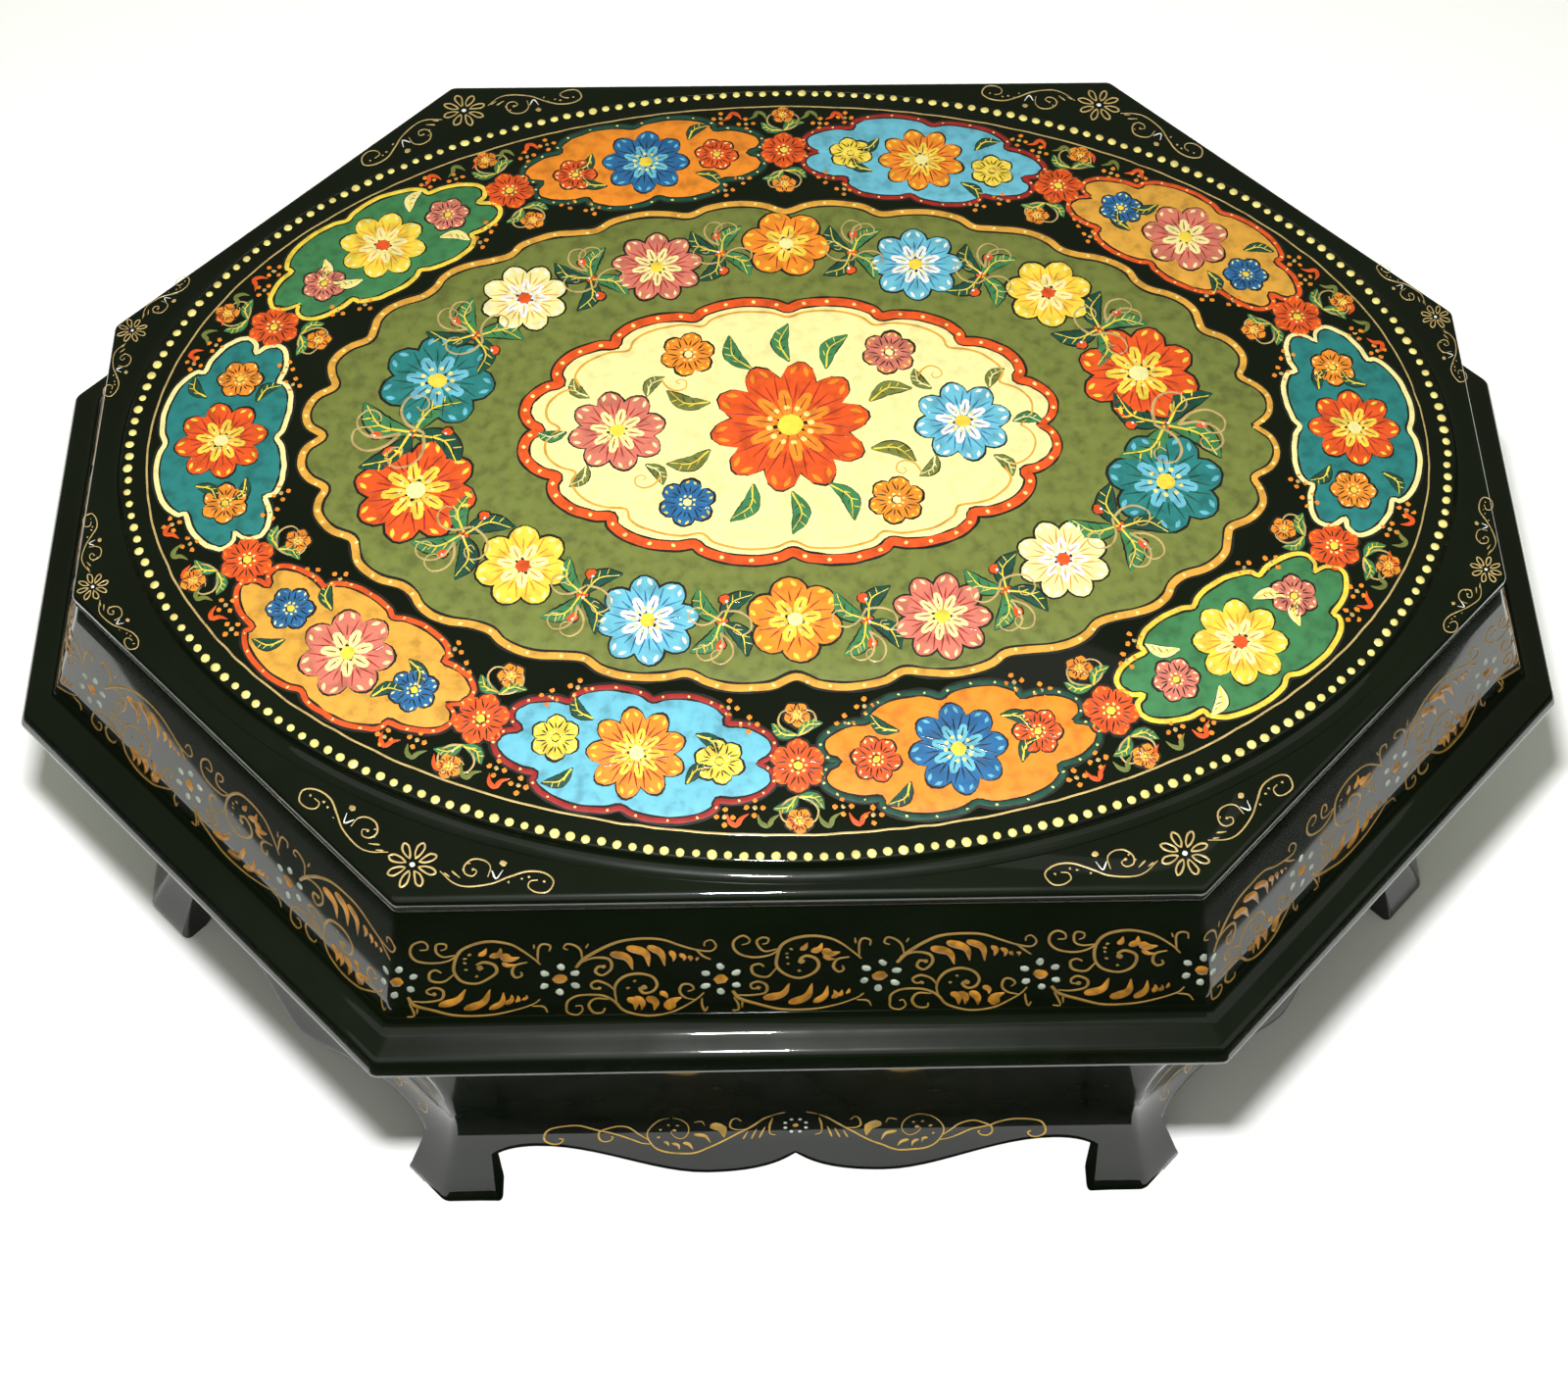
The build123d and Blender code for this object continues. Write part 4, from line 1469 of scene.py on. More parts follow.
SPRIG = Motif(
    strokes=(
        Stroke(Taper.STEM, 0.6, ((-2.1, 22.6), (-4, 21.3), (-6.1, 19.5), (-8.3, 17.2), (-10.5, 15.4),
            (-13.6, 13), (-16.1, 11.6), (-19, 10.4), (-22.1, 10.3), (-24.6, 10.7), (-26.4, 11.8),
            (-27.7, 13.7), (-28, 15.4), (-27.3, 17.4), (-25.8, 19.6), (-23.9, 20.6), (-22.1, 20.1),
            (-20.6, 18.4), (-20.1, 16.4), (-20.4, 14.8), (-21.5, 13.9), (-22.8, 14.4), (-23.6, 15.8),
            (-22.8, 16.4))),
        Stroke(Taper.LINE, 0.6, ((-27.2, 12.5), (-28.9, 12.9), (-30.7, 13.7), (-33.1, 15.1),
            (-34.9, 15.8), (-36.8, 16.4), (-38.3, 17.2), (-41, 18.2), (-44.1, 18), (-46.3, 17.2),
            (-47.2, 15.4), (-47, 13.7), (-45.6, 12.9), (-44.2, 13.2), (-43.8, 14.2), (-44.5, 14.5))),
        Stroke(Taper.LINE, 0.55, ((-27.9, 13.9), (-29.4, 15.2), (-30.6, 16.5), (-31.8, 17.6),
            (-33.6, 17.8), (-35.5, 17.1), (-36.8, 16.1), (-37, 14.5), (-36.3, 13.5), (-35, 13.6),
            (-34.4, 14.5), (-34.8, 14.7))),
        Stroke(Taper.LINE, 0.5, ((-9.5, 16.4), (-11.1, 16.2), (-12.2, 17), (-12.1, 19.1), (-11.3, 20.1),
            (-10.4, 19))),
        Stroke(Taper.TICK, 0.5, ((-19.1, 18.7), (-17.8, 19.1), (-17.1, 17.8))),
        Stroke(Taper.TICK, 0.5, ((-9.9, 13.6), (-9, 15.5))),
        Stroke(Taper.TICK, 0.55, ((-8.3, 13.6), (-7.4, 16.2))),
        Stroke(Taper.TICK, 0.6, ((-6.8, 13.9), (-5.9, 16.8))),
        Stroke(Taper.TICK, 0.6, ((-4.4, 19.8), (-5, 17.3), (-4.8, 14.9), (-3.7, 14.4))),
    ),
    leaves=((-16, 18, -13.4, 14, 2.6), (-19.1, 15, -16.1, 12.7, 1), (-24.8, 13.2, -23.8, 12, 0.8),
            (-23.2, 12.7, -21.8, 11.2, 0.8), (-21.2, 12.8, -19.3, 11.2, 0.9)),
    dots=((-22.9, 16.2, 0.9), (-24, 18, 0.6), (-22.3, 17.8, 0.6), (-25.5, 16.5, 0.6), (-25.9, 14.3, 0.6)),
)

BRANCH = Motif(
    strokes=(
        Stroke(Taper.LINE, 0.35, ((4.4, -1.2), (6.5, -3.2), (8.8, -3.9), (12.4, -3.5), (15, -2.4),
            (17.9, -1.4), (20.6, -1.8), (22.1, -3.2), (21.2, -4.9), (19.4, -5), (18.2, -4.1),
            (18.5, -3.1), (19.7, -2.9))),
        Stroke(Taper.LINE, 0.33, ((11.8, -2.4), (12.2, -0.6), (11.2, 0.6), (9.4, 0.8), (8.1, -0.3),
            (8.2, -1.6), (9.4, -2.1), (10.1, -1.4), (9.4, -0.8))),
        Stroke(Taper.TICK, 0.4, ((5, -1.5), (5.9, -2.2))),
        Stroke(Taper.TICK, 0.4, ((6.2, -1.2), (7.5, -2.4))),
    ),
    dots=((9.4, -0.9, 0.5), (15.9, -2.1, 0.4), (17.1, -2.6, 0.4), (15, -3.2, 0.4),
          (18.2, -2.4, 0.4), (20.6, -3.2, 0.4), (7.9, -0.9, 0.35), (8.8, 0, 0.35)),
)


class Work(Protocol):
    """Paint of one pigment that can be laid on a surface."""

    def paint(self, sheet: Sheet) -> Piece:
        """Builds the paint on the surface."""


Layer = tuple[Work, Pigment, Sheet]


@dataclass
class FriezePainting:
    """Running scroll of the case: two modules in turn, with a dot flower at each joint."""

    modules: int = 28
    module_length: float = 26.0
    flower_level: float = 8.0
    petals: int = 6
    ring_radius: float = 2.8

    def build(self) -> list[Layer]:
        """Paints the scroll round the box."""
        sheet = FriezeSheet(4.0 * MM)
        pitch = sheet.length / MM / self.modules
        gold = Brush("frieze_scroll_gold", relief=0.08, step=0.55, shake=0.07)
        amber = Brush("frieze_leaves_amber", relief=0.12, step=0.6, shake=0.1, fullness=1.25)
        pearl = Brush("frieze_petals_pearl", relief=0.14, step=0.4, shake=0.06)
        chance = random.Random(11)
        for number in range(self.modules):
            motif, bend = ((FEATHER_MODULE, -0.2), (ARCH_MODULE, 0.22))[number % 2]
            scale = pitch / self.module_length * chance.uniform(0.97, 1.02)
            place = Setting(number * pitch + chance.uniform(-0.2, 0.2), chance.uniform(-0.15, 0.25),
                            chance.uniform(-0.7, 0.7), scale)
            gold.motif(motif, place)
            amber.leaves(motif, place, bend)
            self.flower((number + 0.5) * pitch, amber, pearl, chance)
        return [(brush, pigment, sheet) for brush, pigment in ((gold, GOLD), (amber, AMBER), (pearl, PEARL))]

    def flower(self, x: float, amber: Brush, pearl: Brush, chance: random.Random) -> None:
        """Adds one dot flower."""
        centre = (x + chance.uniform(-0.3, 0.3), self.flower_level + chance.uniform(-0.3, 0.3))
        amber.dot(centre, 2.1, 1.12)
        for dx, dy, turn in ring(self.petals, self.ring_radius, chance.uniform(0.35, 0.6)):
            pearl.dot((centre[0] + dx, centre[1] + dy), 1.25, 1.2, turn)


@dataclass
class BorderPainting:
    """Fine gold flower with two sprays at each corner of the lid."""

    insets: Pair = (7.2, 3.9)
    scales: Pair = (1.0, 0.66)
    petals: int = 8
    petal: Pair = (1.1, 4.0)

    def build(self) -> list[Layer]:
        """Paints the eight corners."""
        gold = Brush("border_sprays_gold", relief=0.05, step=0.45, shake=0.05)
        white = Brush("border_dots_white", relief=0.06, step=0.3)
        corners = PLAN.corners(0.0)
        for number, corner in enumerate(corners):
            kind = number % 4 // 2
            ahead = (corners[(number + 1) % CORNERS] - corner).normalized()
            behind = (corners[number - 1] - corner).normalized()
            inward = (ahead + behind).normalized()
            centre = corner / MM + inward * self.insets[kind]
            turn, mirror, middle = (math.degrees(math.atan2(way.y, way.x)) for way in (ahead, behind, inward))
            scale = self.scales[kind]
            for place in (Setting(centre.x, centre.y, turn, scale),
                          Setting(centre.x, centre.y, mirror + 180, scale, True)):
                gold.motif(BRANCH, place)
                gold.dot((14.1, 0.0), 1.0, 1.2, setting=place)
                white.stroke(((12.4, -1.2), (13.1, -2.6), (14.1, -1.2)), 0.3, Taper.TICK, place)
            self.flower(gold, white, Setting(centre.x, centre.y, middle, scale))
        sheet = FlatSheet()
        return [(gold, PALE_GOLD, sheet), (white, WHITE, sheet)]

    def flower(self, gold: Brush, white: Brush, place: Setting) -> None:
        """Adds the outlined petals round a white dot."""
        near, far = self.petal
        for _, _, turn in ring(self.petals, 1.0):
            petal = [(near, 0.0), (near + 0.9, 0.45), (far - 0.7, 0.55), (far, 0.0),
                     (far - 0.7, -0.55), (near + 0.9, -0.45), (near, 0.0)]
            spin = Setting(turn=math.degrees(turn))
            points = spin.put(np.array(petal))
            gold.stroke(points, 0.36, Taper.BRUSH, place)
        white.dot((0.0, 0.0), 0.9, setting=place)


@dataclass
class DotRing:
    """Raised gold dots that frame the painting."""

    count: int = 246
    radius: float = 112.9
    size: float = 1.45

    def build(self, dome: Dome) -> list[Layer]:
        """Paints the dots along the edge of the panel."""
        gold = Brush("dot_ring_gold", relief=0.3, step=0.3)
        chance = random.Random(5)
        for angle in oval_steps(self.radius, dome.ratio, self.count):
            wide = self.radius + chance.uniform(-0.2, 0.15)
            place = (wide * math.cos(angle), wide * dome.ratio * math.sin(angle))
            gold.dot(place, self.size * chance.uniform(0.85, 1.1), chance.uniform(1.0, 1.15),
                     chance.uniform(0, 3))
        return [(gold, RING_GOLD, DomeSheet(dome))]


def oval_steps(radius: float, ratio: float, count: int) -> list[float]:
    """Angles that divide an oval into arcs of equal length."""
    angles = np.linspace(0.0, math.tau, 2001)
    lengths = np.hypot(np.diff(np.cos(angles)), np.diff(ratio * np.sin(angles))).cumsum()
    targets = np.arange(count) / count * lengths[-1]
    return [float(angle) for angle in np.interp(targets, np.concatenate(((0.0,), lengths)), angles)]


@dataclass
class StandPainting:
    """Spray with a dot flower over the scallops of each board of the stand."""

    level: float = 18.1
    sprig_level: float = 17.3
    petals: int = 8
    ring_radius: float = 2.1
    first_petal: float = 0.39
    long: float = 1.0
    diagonal: float = 0.72
    short: float = 0.5

    def build(self) -> list[Layer]:
        """Paints the eight boards."""
        sheet = StandSheet(3.0 * MM)
        gold = Brush("stand_sprays_gold", relief=0.07, step=0.55, shake=0.06)
        white = Brush("stand_dots_white", relief=0.12, step=0.35)
        for index, name in enumerate(SIDES):
            middle = (sheet.starts[index] + sheet.reaches[index]) / MM
            scale = self.diagonal if "_" in name else self.long if name in ("front", "back") else self.short
            for flip in (False, True):
                place = Setting(middle, self.level - self.sprig_level * scale, 0.0, scale, flip)
                gold.motif(SPRIG, place)
                gold.leaves(SPRIG, place, 0.2)
            size = math.sqrt(scale)
            gold.dot((middle, self.level), 1.3 * size)
            for dx, dy, _ in ring(self.petals, self.ring_radius * size, self.first_petal):
                white.dot((middle + dx, self.level + dy), 0.8 * size)
        return [(gold, SPRAY_GOLD, sheet), (white, WHITE, sheet)]


# Painting of the oval panel: a floral carpet


class Coat(Enum):
    """Layers of the painting, as their base and their thickness in millimetres."""

    GROUND = (0.0, 0.02)
    PANEL = (0.012, 0.02)
    UNDER = (0.028, 0.015)
    BODY = (0.04, 0.03)
    INNER = (0.062, 0.02)
    DETAIL = (0.078, 0.03)


@dataclass
class Field:
    """Filled areas of one pigment."""

    name: str
    base: float
    relief: float
    spacing: float = 7.0
    outlines: list[np.ndarray] = field(default_factory=list)

    def paint(self, sheet: Sheet) -> Piece:
        """Builds each area as a thin closed disc, joins them and drapes them."""
        deselect()
        parts = [self.disc(outline) for outline in self.outlines]
        for part in parts:
            part.select_set(True)
        if len(parts) > 1:
            bpy.ops.object.join()
        piece = bpy.context.object
        piece.name = piece.data.name = self.name
        drape(piece, sheet, self.base, self.relief)
        smooth(piece, PAINT_ANGLE)
        return piece

    def disc(self, outline: np.ndarray) -> Piece:
        """Shapes a grid into rings from the middle out to the outline and back below."""
        middle = outline.mean(axis=0)
        reach = float(np.hypot(*(outline - middle).T).max())
        rings = max(2, math.ceil(reach / self.spacing))
        courses = [(ring / rings, 1.0) for ring in range(rings)]
        courses += [(1 - 0.3 / reach, 1.0), (1.0, -1.0), (0.5, -1.0), (0.0, -1.0)]
        loop = np.vstack((outline, outline[:1]))
        rows = [np.column_stack((middle + (loop - middle) * share, np.full(len(loop), height)))
                for share, height in courses]
        piece = weave(np.vstack(rows) * MM, len(courses), 0.0005 * MM)
        mode("OBJECT")
        return piece


@dataclass
class Easel:
    """Brushes and fields of a painting, by pigment and coat."""

    prefix: str
    brushes: dict[tuple[str, Coat], tuple[Brush, Pigment]] = field(default_factory=dict)
    fields: dict[tuple[str, Coat], tuple[Field, Pigment]] = field(default_factory=dict)

    def brush(self, pigment: Pigment, coat: Coat) -> Brush:
        """The brush that holds a pigment for one coat."""
        key = (pigment.name, coat)
        if key not in self.brushes:
            base, relief = coat.value
            name = f"{self.prefix}_{pigment.name}_{coat.name.lower()}"
            self.brushes[key] = (Brush(name, base, relief, step=0.7, shake=0.05), pigment)
        return self.brushes[key][0]

    def fill(self, pigment: Pigment, coat: Coat, outline: np.ndarray) -> None:
        """Fills an outline with a pigment."""
        key = (pigment.name, coat)
        if key not in self.fields:
            name = f"{self.prefix}_{pigment.name}_{coat.name.lower()}_field"
            self.fields[key] = (Field(name, *coat.value), pigment)
        self.fields[key][0].outlines.append(outline)

    def layers(self, sheet: Sheet) -> list[Layer]:
        """Everything that was painted, with its pigment and surface."""
        works = [*self.fields.values(), *self.brushes.values()]
        return [(work, pigment, sheet) for work, pigment in works]


def polar(places: Sequence[Pair]) -> list[Pair]:
    """Points given by their reach from a flower's middle and their angle in radians."""
    return [(reach * math.cos(angle), reach * math.sin(angle)) for reach, angle in places]


def lobe(brush: Brush, place: Setting, angle: float, near: float, far: float, width: float) -> None:
    """Adds one petal-shaped stroke that points away from a flower's middle."""
    reaches = (near, (near + far) / 2, far)
    brush.stroke(polar([(reach, angle) for reach in reaches]), width, Taper.PETAL, place)


def hatch(brush: Brush, place: Setting, angle: float, near: float, far: float, lean: float) -> None:
    """Adds one thin stroke of shading along a petal."""
    brush.stroke(polar(((near, angle + lean * 0.5), (far, angle + lean))), 0.3, Taper.TICK, place)


@dataclass(frozen=True)
class Blossom:
    """Flower of one or two rows of petals with shading strokes, lights and a heart."""

    radius: float
    petals: int
    body: Pigment
    shade: Pigment
    light: Pigment
    heart: Pigment
    rows: int = 2

    def paint(self, easel: Easel, place: Setting) -> None:
        """Paints the flower at its place."""
        width = math.tau * self.radius / self.petals * 0.74
        for _, _, angle in ring(self.petals, 1.0):
            self.petal(easel, place, angle, self.radius, width)
        if self.rows > 1:
            inner = self.radius * 0.56
            for _, _, angle in ring(self.petals, 1.0, math.pi / self.petals):
                lobe(easel.brush(self.light, Coat.INNER), place, angle, 0.2 * inner, inner, width * 0.5)
                hatch(easel.brush(self.shade, Coat.DETAIL), place, angle, 0.4 * inner, 0.86 * inner, 0.0)
        easel.brush(INK, Coat.INNER).dot((0.0, 0.0), self.radius * 0.44, setting=place)
        easel.brush(self.heart, Coat.DETAIL).dot((0.0, 0.0), self.radius * 0.34, setting=place)
        for x, y, _ in ring(self.petals + 2, self.radius * 0.27):
            easel.brush(RING_GOLD, Coat.DETAIL).dot((x, y), self.radius * 0.07 + 0.2, setting=place)

    def petal(self, easel: Easel, place: Setting, angle: float, reach: float, width: float) -> None:
        """Paints one outer petal from its dark under-painting up to its light tip."""
        lobe(easel.brush(INK, Coat.UNDER), place, angle, 0.12 * reach, reach + 0.35, width + 0.7)
        lobe(easel.brush(self.body, Coat.BODY), place, angle, 0.15 * reach, reach, width)
        for lean, far in ((-0.5, 0.8), (0.0, 0.68), (0.5, 0.8)):
            hatch(easel.brush(self.shade, Coat.DETAIL), place, angle, 0.42 * reach, far * reach,
                  lean * width / reach)
        light = easel.brush(self.light, Coat.INNER)
        for lean in (-0.3, 0.3):
            turn = lean * width / reach
            ends = [(far * reach, angle + part * turn) for far, part in ((0.8, 1.0), (0.95, 0.4))]
            light.stroke(polar(ends), width * 0.16, Taper.LEAF, place)


@dataclass(frozen=True)
class Leaf:
    """Pointed leaf with a light rib and shading strokes on one side."""

    length: float
    width: float
    body: Pigment
    light: Pigment
    bend: float = 0.18

    def paint(self, easel: Easel, place: Setting) -> None:
        """Paints the leaf from its stalk at the place out along the place's own x axis."""
        end, bow = (self.length, 0.0), (self.length / 2, self.bend * self.length)
        for pigment, coat, width in ((INK, Coat.UNDER, self.width + 0.6), (self.body, Coat.BODY, self.width)):
            easel.brush(pigment, coat).stroke(((0.0, 0.0), bow, end), width, Taper.LEAF, place)
        rib = ((0.3, 0.0), bow, (0.92 * self.length, 0.0))
        easel.brush(self.light, Coat.DETAIL).stroke(rib, 0.35, Taper.STEM, place)
        for share in (0.3, 0.5, 0.7):
            x, y = share * self.length, 4 * share * (1 - share) * bow[1]
            reach = 0.34 * self.width * math.sin(math.pi * share)
            for side, pigment in ((-1, INK), (1, self.light)):
                vein = ((x, y), (x + reach, y + side * reach))
                easel.brush(pigment, Coat.DETAIL).stroke(vein, 0.22, Taper.TICK, place)


@dataclass(frozen=True)
class Track:
    """Oval path along which ornament is spaced."""

    half_length: float
    half_width: float

    def place(self, share: float, offset: float = 0.0) -> Setting:
        """Place at a share of the way round, moved outward, with its x axis pointing outward."""
        angle = self.angles(np.array([share]))[0]
        x, y = (self.half_length + offset) * math.cos(angle), (self.half_width + offset) * math.sin(angle)
        turn = math.atan2(math.sin(angle) * self.half_length, math.cos(angle) * self.half_width)
        return Setting(x, y, math.degrees(turn))

    def angles(self, shares: np.ndarray) -> np.ndarray:
        """Angles at shares of the way round."""
        angles = np.linspace(0.0, math.tau, 721)
        across, up = self.half_length * np.cos(angles), self.half_width * np.sin(angles)
        lengths = np.concatenate(((0.0,), np.hypot(np.diff(across), np.diff(up)).cumsum()))
        turns = np.floor(shares)
        return np.interp((shares - turns) * lengths[-1], lengths, angles) + turns * math.tau

    def length(self) -> float:
        """Length of the path."""
        a, b = self.half_length, self.half_width
        return math.pi * (3 * (a + b) - math.sqrt((3 * a + b) * (a + 3 * b)))

    def follow(self, share: float, shape: np.ndarray) -> np.ndarray:
        """Bends a shape, drawn as rows of along and outward, round the path."""
        angles = self.angles(share + shape[:, 0] / self.length())
        return np.column_stack(((self.half_length + shape[:, 1]) * np.cos(angles),
                                (self.half_width + shape[:, 1]) * np.sin(angles)))


def lobed(half_length: float, half_width: float, lobes: int, depth: float, count: int = 288) -> np.ndarray:
    """Outline of an oval with round lobes and sharp cusps between them.

    Args:
        half_length: Half of the length over the lobes.
        half_width: Half of the width over the lobes.
        lobes: Number of lobes.
        depth: Depth of the cusps as a share of the size.
        count: Number of points.

    Returns:
        Rows of two coordinates.
    """
    angles = np.arange(count) / count * math.tau
    reach = 1 - depth + depth * np.abs(np.sin(angles * lobes / 2)) ** 0.7
    return np.column_stack((half_length * np.cos(angles), half_width * np.sin(angles))) * reach[:, None]


def moved(place: Setting, along: float = 0.0, turn: float = 0.0, scale: float = 1.0) -> Setting:
    """A setting moved along another setting's own x axis, turned and scaled."""
    x, y = place.put(np.array([(along, 0.0)]))[0]
    return Setting(float(x), float(y), place.turn + turn, place.scale * scale)


CURL = ((0.0, 0.0), (2.2, 1.2), (4.4, 1.0), (5.6, -0.6), (4.9, -2.2), (3.4, -2.2), (3.0, -1.1), (3.9, -0.8))


@dataclass
class OvalPainting:
    """Carpet of blossoms: a lobed medallion, a green band and a ring of cartouches."""

    medallion: Pair = (46.0, 27.5)
    band: Pair = (83.5, 51.0)
    cartouche_track: Track = Track(97.2, 64.0)
    cartouche: Pair = (23.0, 11.4)
    band_track: Track = Track(64.5, 39.3)
    edge: Pair = (109.6, 76.1)
    cartouches: int = 10
    leaflets: int = 12
    band_blossoms: int = 14

    def build(self, dome: Dome) -> list[Layer]:
        """Paints the carpet from its middle outward."""
        easel = Easel("oval")
        self.paint_medallion(easel)
        self.paint_band(easel)
        self.paint_cartouches(easel)
        self.paint_edge(easel)
        return easel.layers(DomeSheet(dome))

    def paint_edge(self, easel: Easel) -> None:
        """Paints a fine gold line inside the ring of dots, and a row of leaflets along it."""
        track = Track(*self.edge)
        line = track.follow(0.0, np.column_stack((np.linspace(0, track.length(), 240), np.zeros(240))))
        easel.brush(PALE_GOLD, Coat.BODY).stroke(line, 0.35, Taper.EVEN)
        count = self.leaflets * self.cartouches
        for number in range(count):
            beside = (number / self.leaflets) % 1
            if 0.3 < beside < 0.7:
                place = track.place(number / count, -1.2)
                for side in (-1, 1):
                    easel.brush(OLIVE if number % 2 else VERMILION, Coat.BODY).leaf(
                        (0.0, 0.0), (-2.2, 1.7 * side), 0.9, setting=place)

    def rim(self, easel: Easel, outline: np.ndarray, pigment: Pigment, width: float, dots: int) -> None:
        """Paints a coloured border with a dark outline and gold dots along an outline."""
        loop = np.vstack((outline, outline[:1]))[::2]
        loop = np.vstack((loop, outline[:1]))
        easel.brush(INK, Coat.UNDER).stroke(loop, width + 0.8, Taper.EVEN)
        easel.brush(pigment, Coat.BODY).stroke(loop, width, Taper.EVEN)
        for number in range(dots):
            x, y = outline[int((number + 0.5) * len(outline) / dots)]
            easel.brush(RING_GOLD, Coat.DETAIL).dot((x, y), min(0.75, width * 0.5))

    def paint_medallion(self, easel: Easel) -> None:
        """Paints the cream field with its great blossom and four smaller ones."""
        outline = lobed(*self.medallion, 16, 0.07)
        easel.fill(CREAM, Coat.PANEL, outline)
        self.rim(easel, outline, VERMILION, 1.7, 64)
        easel.brush(OCHRE, Coat.BODY).stroke(np.vstack((outline[::3], outline[:1])) * 0.92, 0.45, Taper.EVEN)
        Blossom(13.5, 10, VERMILION, DEEP_RED, ORANGE, YELLOW).paint(easel, Setting(turn=9))
        for side, colours in ((-1, (ROSE, DEEP_RED, CREAM)), (1, (SKY, BLUE, WHITE))):
            Blossom(8.2, 8, *colours, YELLOW).paint(easel, Setting(29.5 * side, 0.6 * side, 12))
        for x, y, body in ((-17.5, 15.5, ORANGE), (17.5, 15.5, ROSE),
                           (-17.5, -15.5, BLUE), (17.5, -15.5, ORANGE)):
            Blossom(4.6, 6, body, INK, YELLOW, CREAM, 1).paint(easel, Setting(x, y, 20))
        for number, turn in enumerate((20, 160, 200, 340, 62, 118, 242, 298, 90, 270)):
            reach, length = (14.5, 8) if number < 4 else (13.6, 8.5)
            spot = Setting(reach * math.cos(math.radians(turn)), reach * math.sin(math.radians(turn)), turn)
            Leaf(length, 3.0, LEAF_GREEN if turn % 4 else OLIVE, YELLOW).paint(easel, spot)
        for side in (-1, 1):
            for turn in (55, 125, 235, 305, 0 if side > 0 else 180):
                spot = moved(Setting(29.5 * side, 0.6 * side, turn), 8.6)
                Leaf(5.2, 2.2, OLIVE if turn % 10 else LEAF_GREEN, CREAM).paint(easel, spot)
            for height in (-1, 1):
                spot = Setting(22.0 * side, 10.0 * height, 30 * height * side + (180 if side < 0 else 0),
                               0.8, side * height < 0)
                easel.brush(OCHRE, Coat.DETAIL).stroke(CURL, 0.5, Taper.STEM, spot)

    def paint_band(self, easel: Easel) -> None:
        """Paints the green band with blossoms, leaves and gold tendrils."""
        outline = lobed(*self.band, 28, 0.045)
        easel.fill(OLIVE, Coat.GROUND, outline)
        self.rim(easel, outline, OCHRE, 1.3, 112)
        kinds = (
            Blossom(8.6, 8, VERMILION, DEEP_RED, YELLOW, CREAM),
            Blossom(7.4, 7, YELLOW, ORANGE, CREAM, VERMILION),
            Blossom(8.2, 8, SKY, BLUE, WHITE, YELLOW),
            Blossom(7.8, 6, ORANGE, DEEP_RED, YELLOW, CREAM),
            Blossom(8.0, 9, ROSE, DEEP_RED, CREAM, YELLOW),
            Blossom(7.4, 8, CREAM, OCHRE, WHITE, VERMILION),
            Blossom(8.2, 7, TEAL, DARK_GREEN, SKY, YELLOW),
        )
        for number in range(self.band_blossoms):
            share = (number + 0.5) / self.band_blossoms
            place = self.band_track.place(share, 1.5 if number % 2 else -1.0)
            wide = 1.0 + 0.28 * abs(math.cos(math.radians(place.turn))) ** 3
            kinds[number % len(kinds)].paint(easel, moved(place, turn=7 * number, scale=wide))
            joint = self.band_track.place(number / self.band_blossoms)
            wide = 1.0 + 0.45 * abs(math.cos(math.radians(joint.turn))) ** 3
            for turn in (38, -38, 142, -142):
                green = LEAF_GREEN if turn < 0 else DARK_GREEN
                Leaf(7.6, 2.9, green, YELLOW).paint(easel, moved(joint, turn=turn, scale=wide))
                start = moved(joint, 2.0 if abs(turn) < 90 else -2.0, turn * 0.45, wide)
                easel.brush(PALE_GOLD, Coat.DETAIL).stroke(CURL, 0.42, Taper.STEM, start)
            for along in (-4.2, 0.0, 4.2):
                berry = moved(joint, along * wide)
                easel.brush(INK, Coat.UNDER).dot((0.0, 0.0), 2.5, setting=berry)
                easel.brush(VERMILION, Coat.BODY).dot((0.0, 0.0), 2.0, setting=berry)
                easel.brush(WHITE, Coat.DETAIL).dot((0.3, 0.3), 0.55, setting=berry)

    def paint_cartouches(self, easel: Easel) -> None:
        """Paints the outer ring of lobed cartouches and the florets between them."""
        track, (long, tall) = self.cartouche_track, self.cartouche
        kinds = (
            (TEAL, CREAM, DARK_GREEN, Blossom(7.8, 8, VERMILION, DEEP_RED, YELLOW, CREAM)),
            (OCHRE, VERMILION, DARK_GREEN, Blossom(7.8, 7, ROSE, DEEP_RED, CREAM, YELLOW)),
            (SKY, DEEP_RED, DARK_GREEN, Blossom(7.8, 9, ORANGE, DEEP_RED, YELLOW, CREAM)),
            (ORANGE, DARK_GREEN, DARK_GREEN, Blossom(7.8, 8, BLUE, INK, SKY, YELLOW)),
            (LEAF_GREEN, YELLOW, CREAM, Blossom(7.8, 8, YELLOW, ORANGE, CREAM, VERMILION)),
        )
        shape = lobed(long, tall, 8, 0.16, 160)
        for number in range(self.cartouches):
            share = number / self.cartouches
            ground, rim, green, blossom = kinds[number % len(kinds)]
            outline = track.follow(share, shape)
            easel.fill(ground, Coat.PANEL, outline)
            self.rim(easel, outline, rim, 0.9, 32)
            blossom.paint(easel, moved(track.place(share), turn=11 * number))
            floret = Blossom(3.9, 6, kinds[(number + 2) % len(kinds)][3].body, INK, CREAM, YELLOW, 1)
            for side in (-1, 1):
                spot = track.place(share + side * 13.2 / track.length())
                floret.paint(easel, moved(spot, turn=15))
                for turn, along in ((90 * side + 40, 4.4), (90 * side - 40, -4.4)):
                    start = track.place(share + side * 8.6 / track.length(), along)
                    Leaf(5.6, 2.2, green, YELLOW).paint(easel, moved(start, turn=turn))
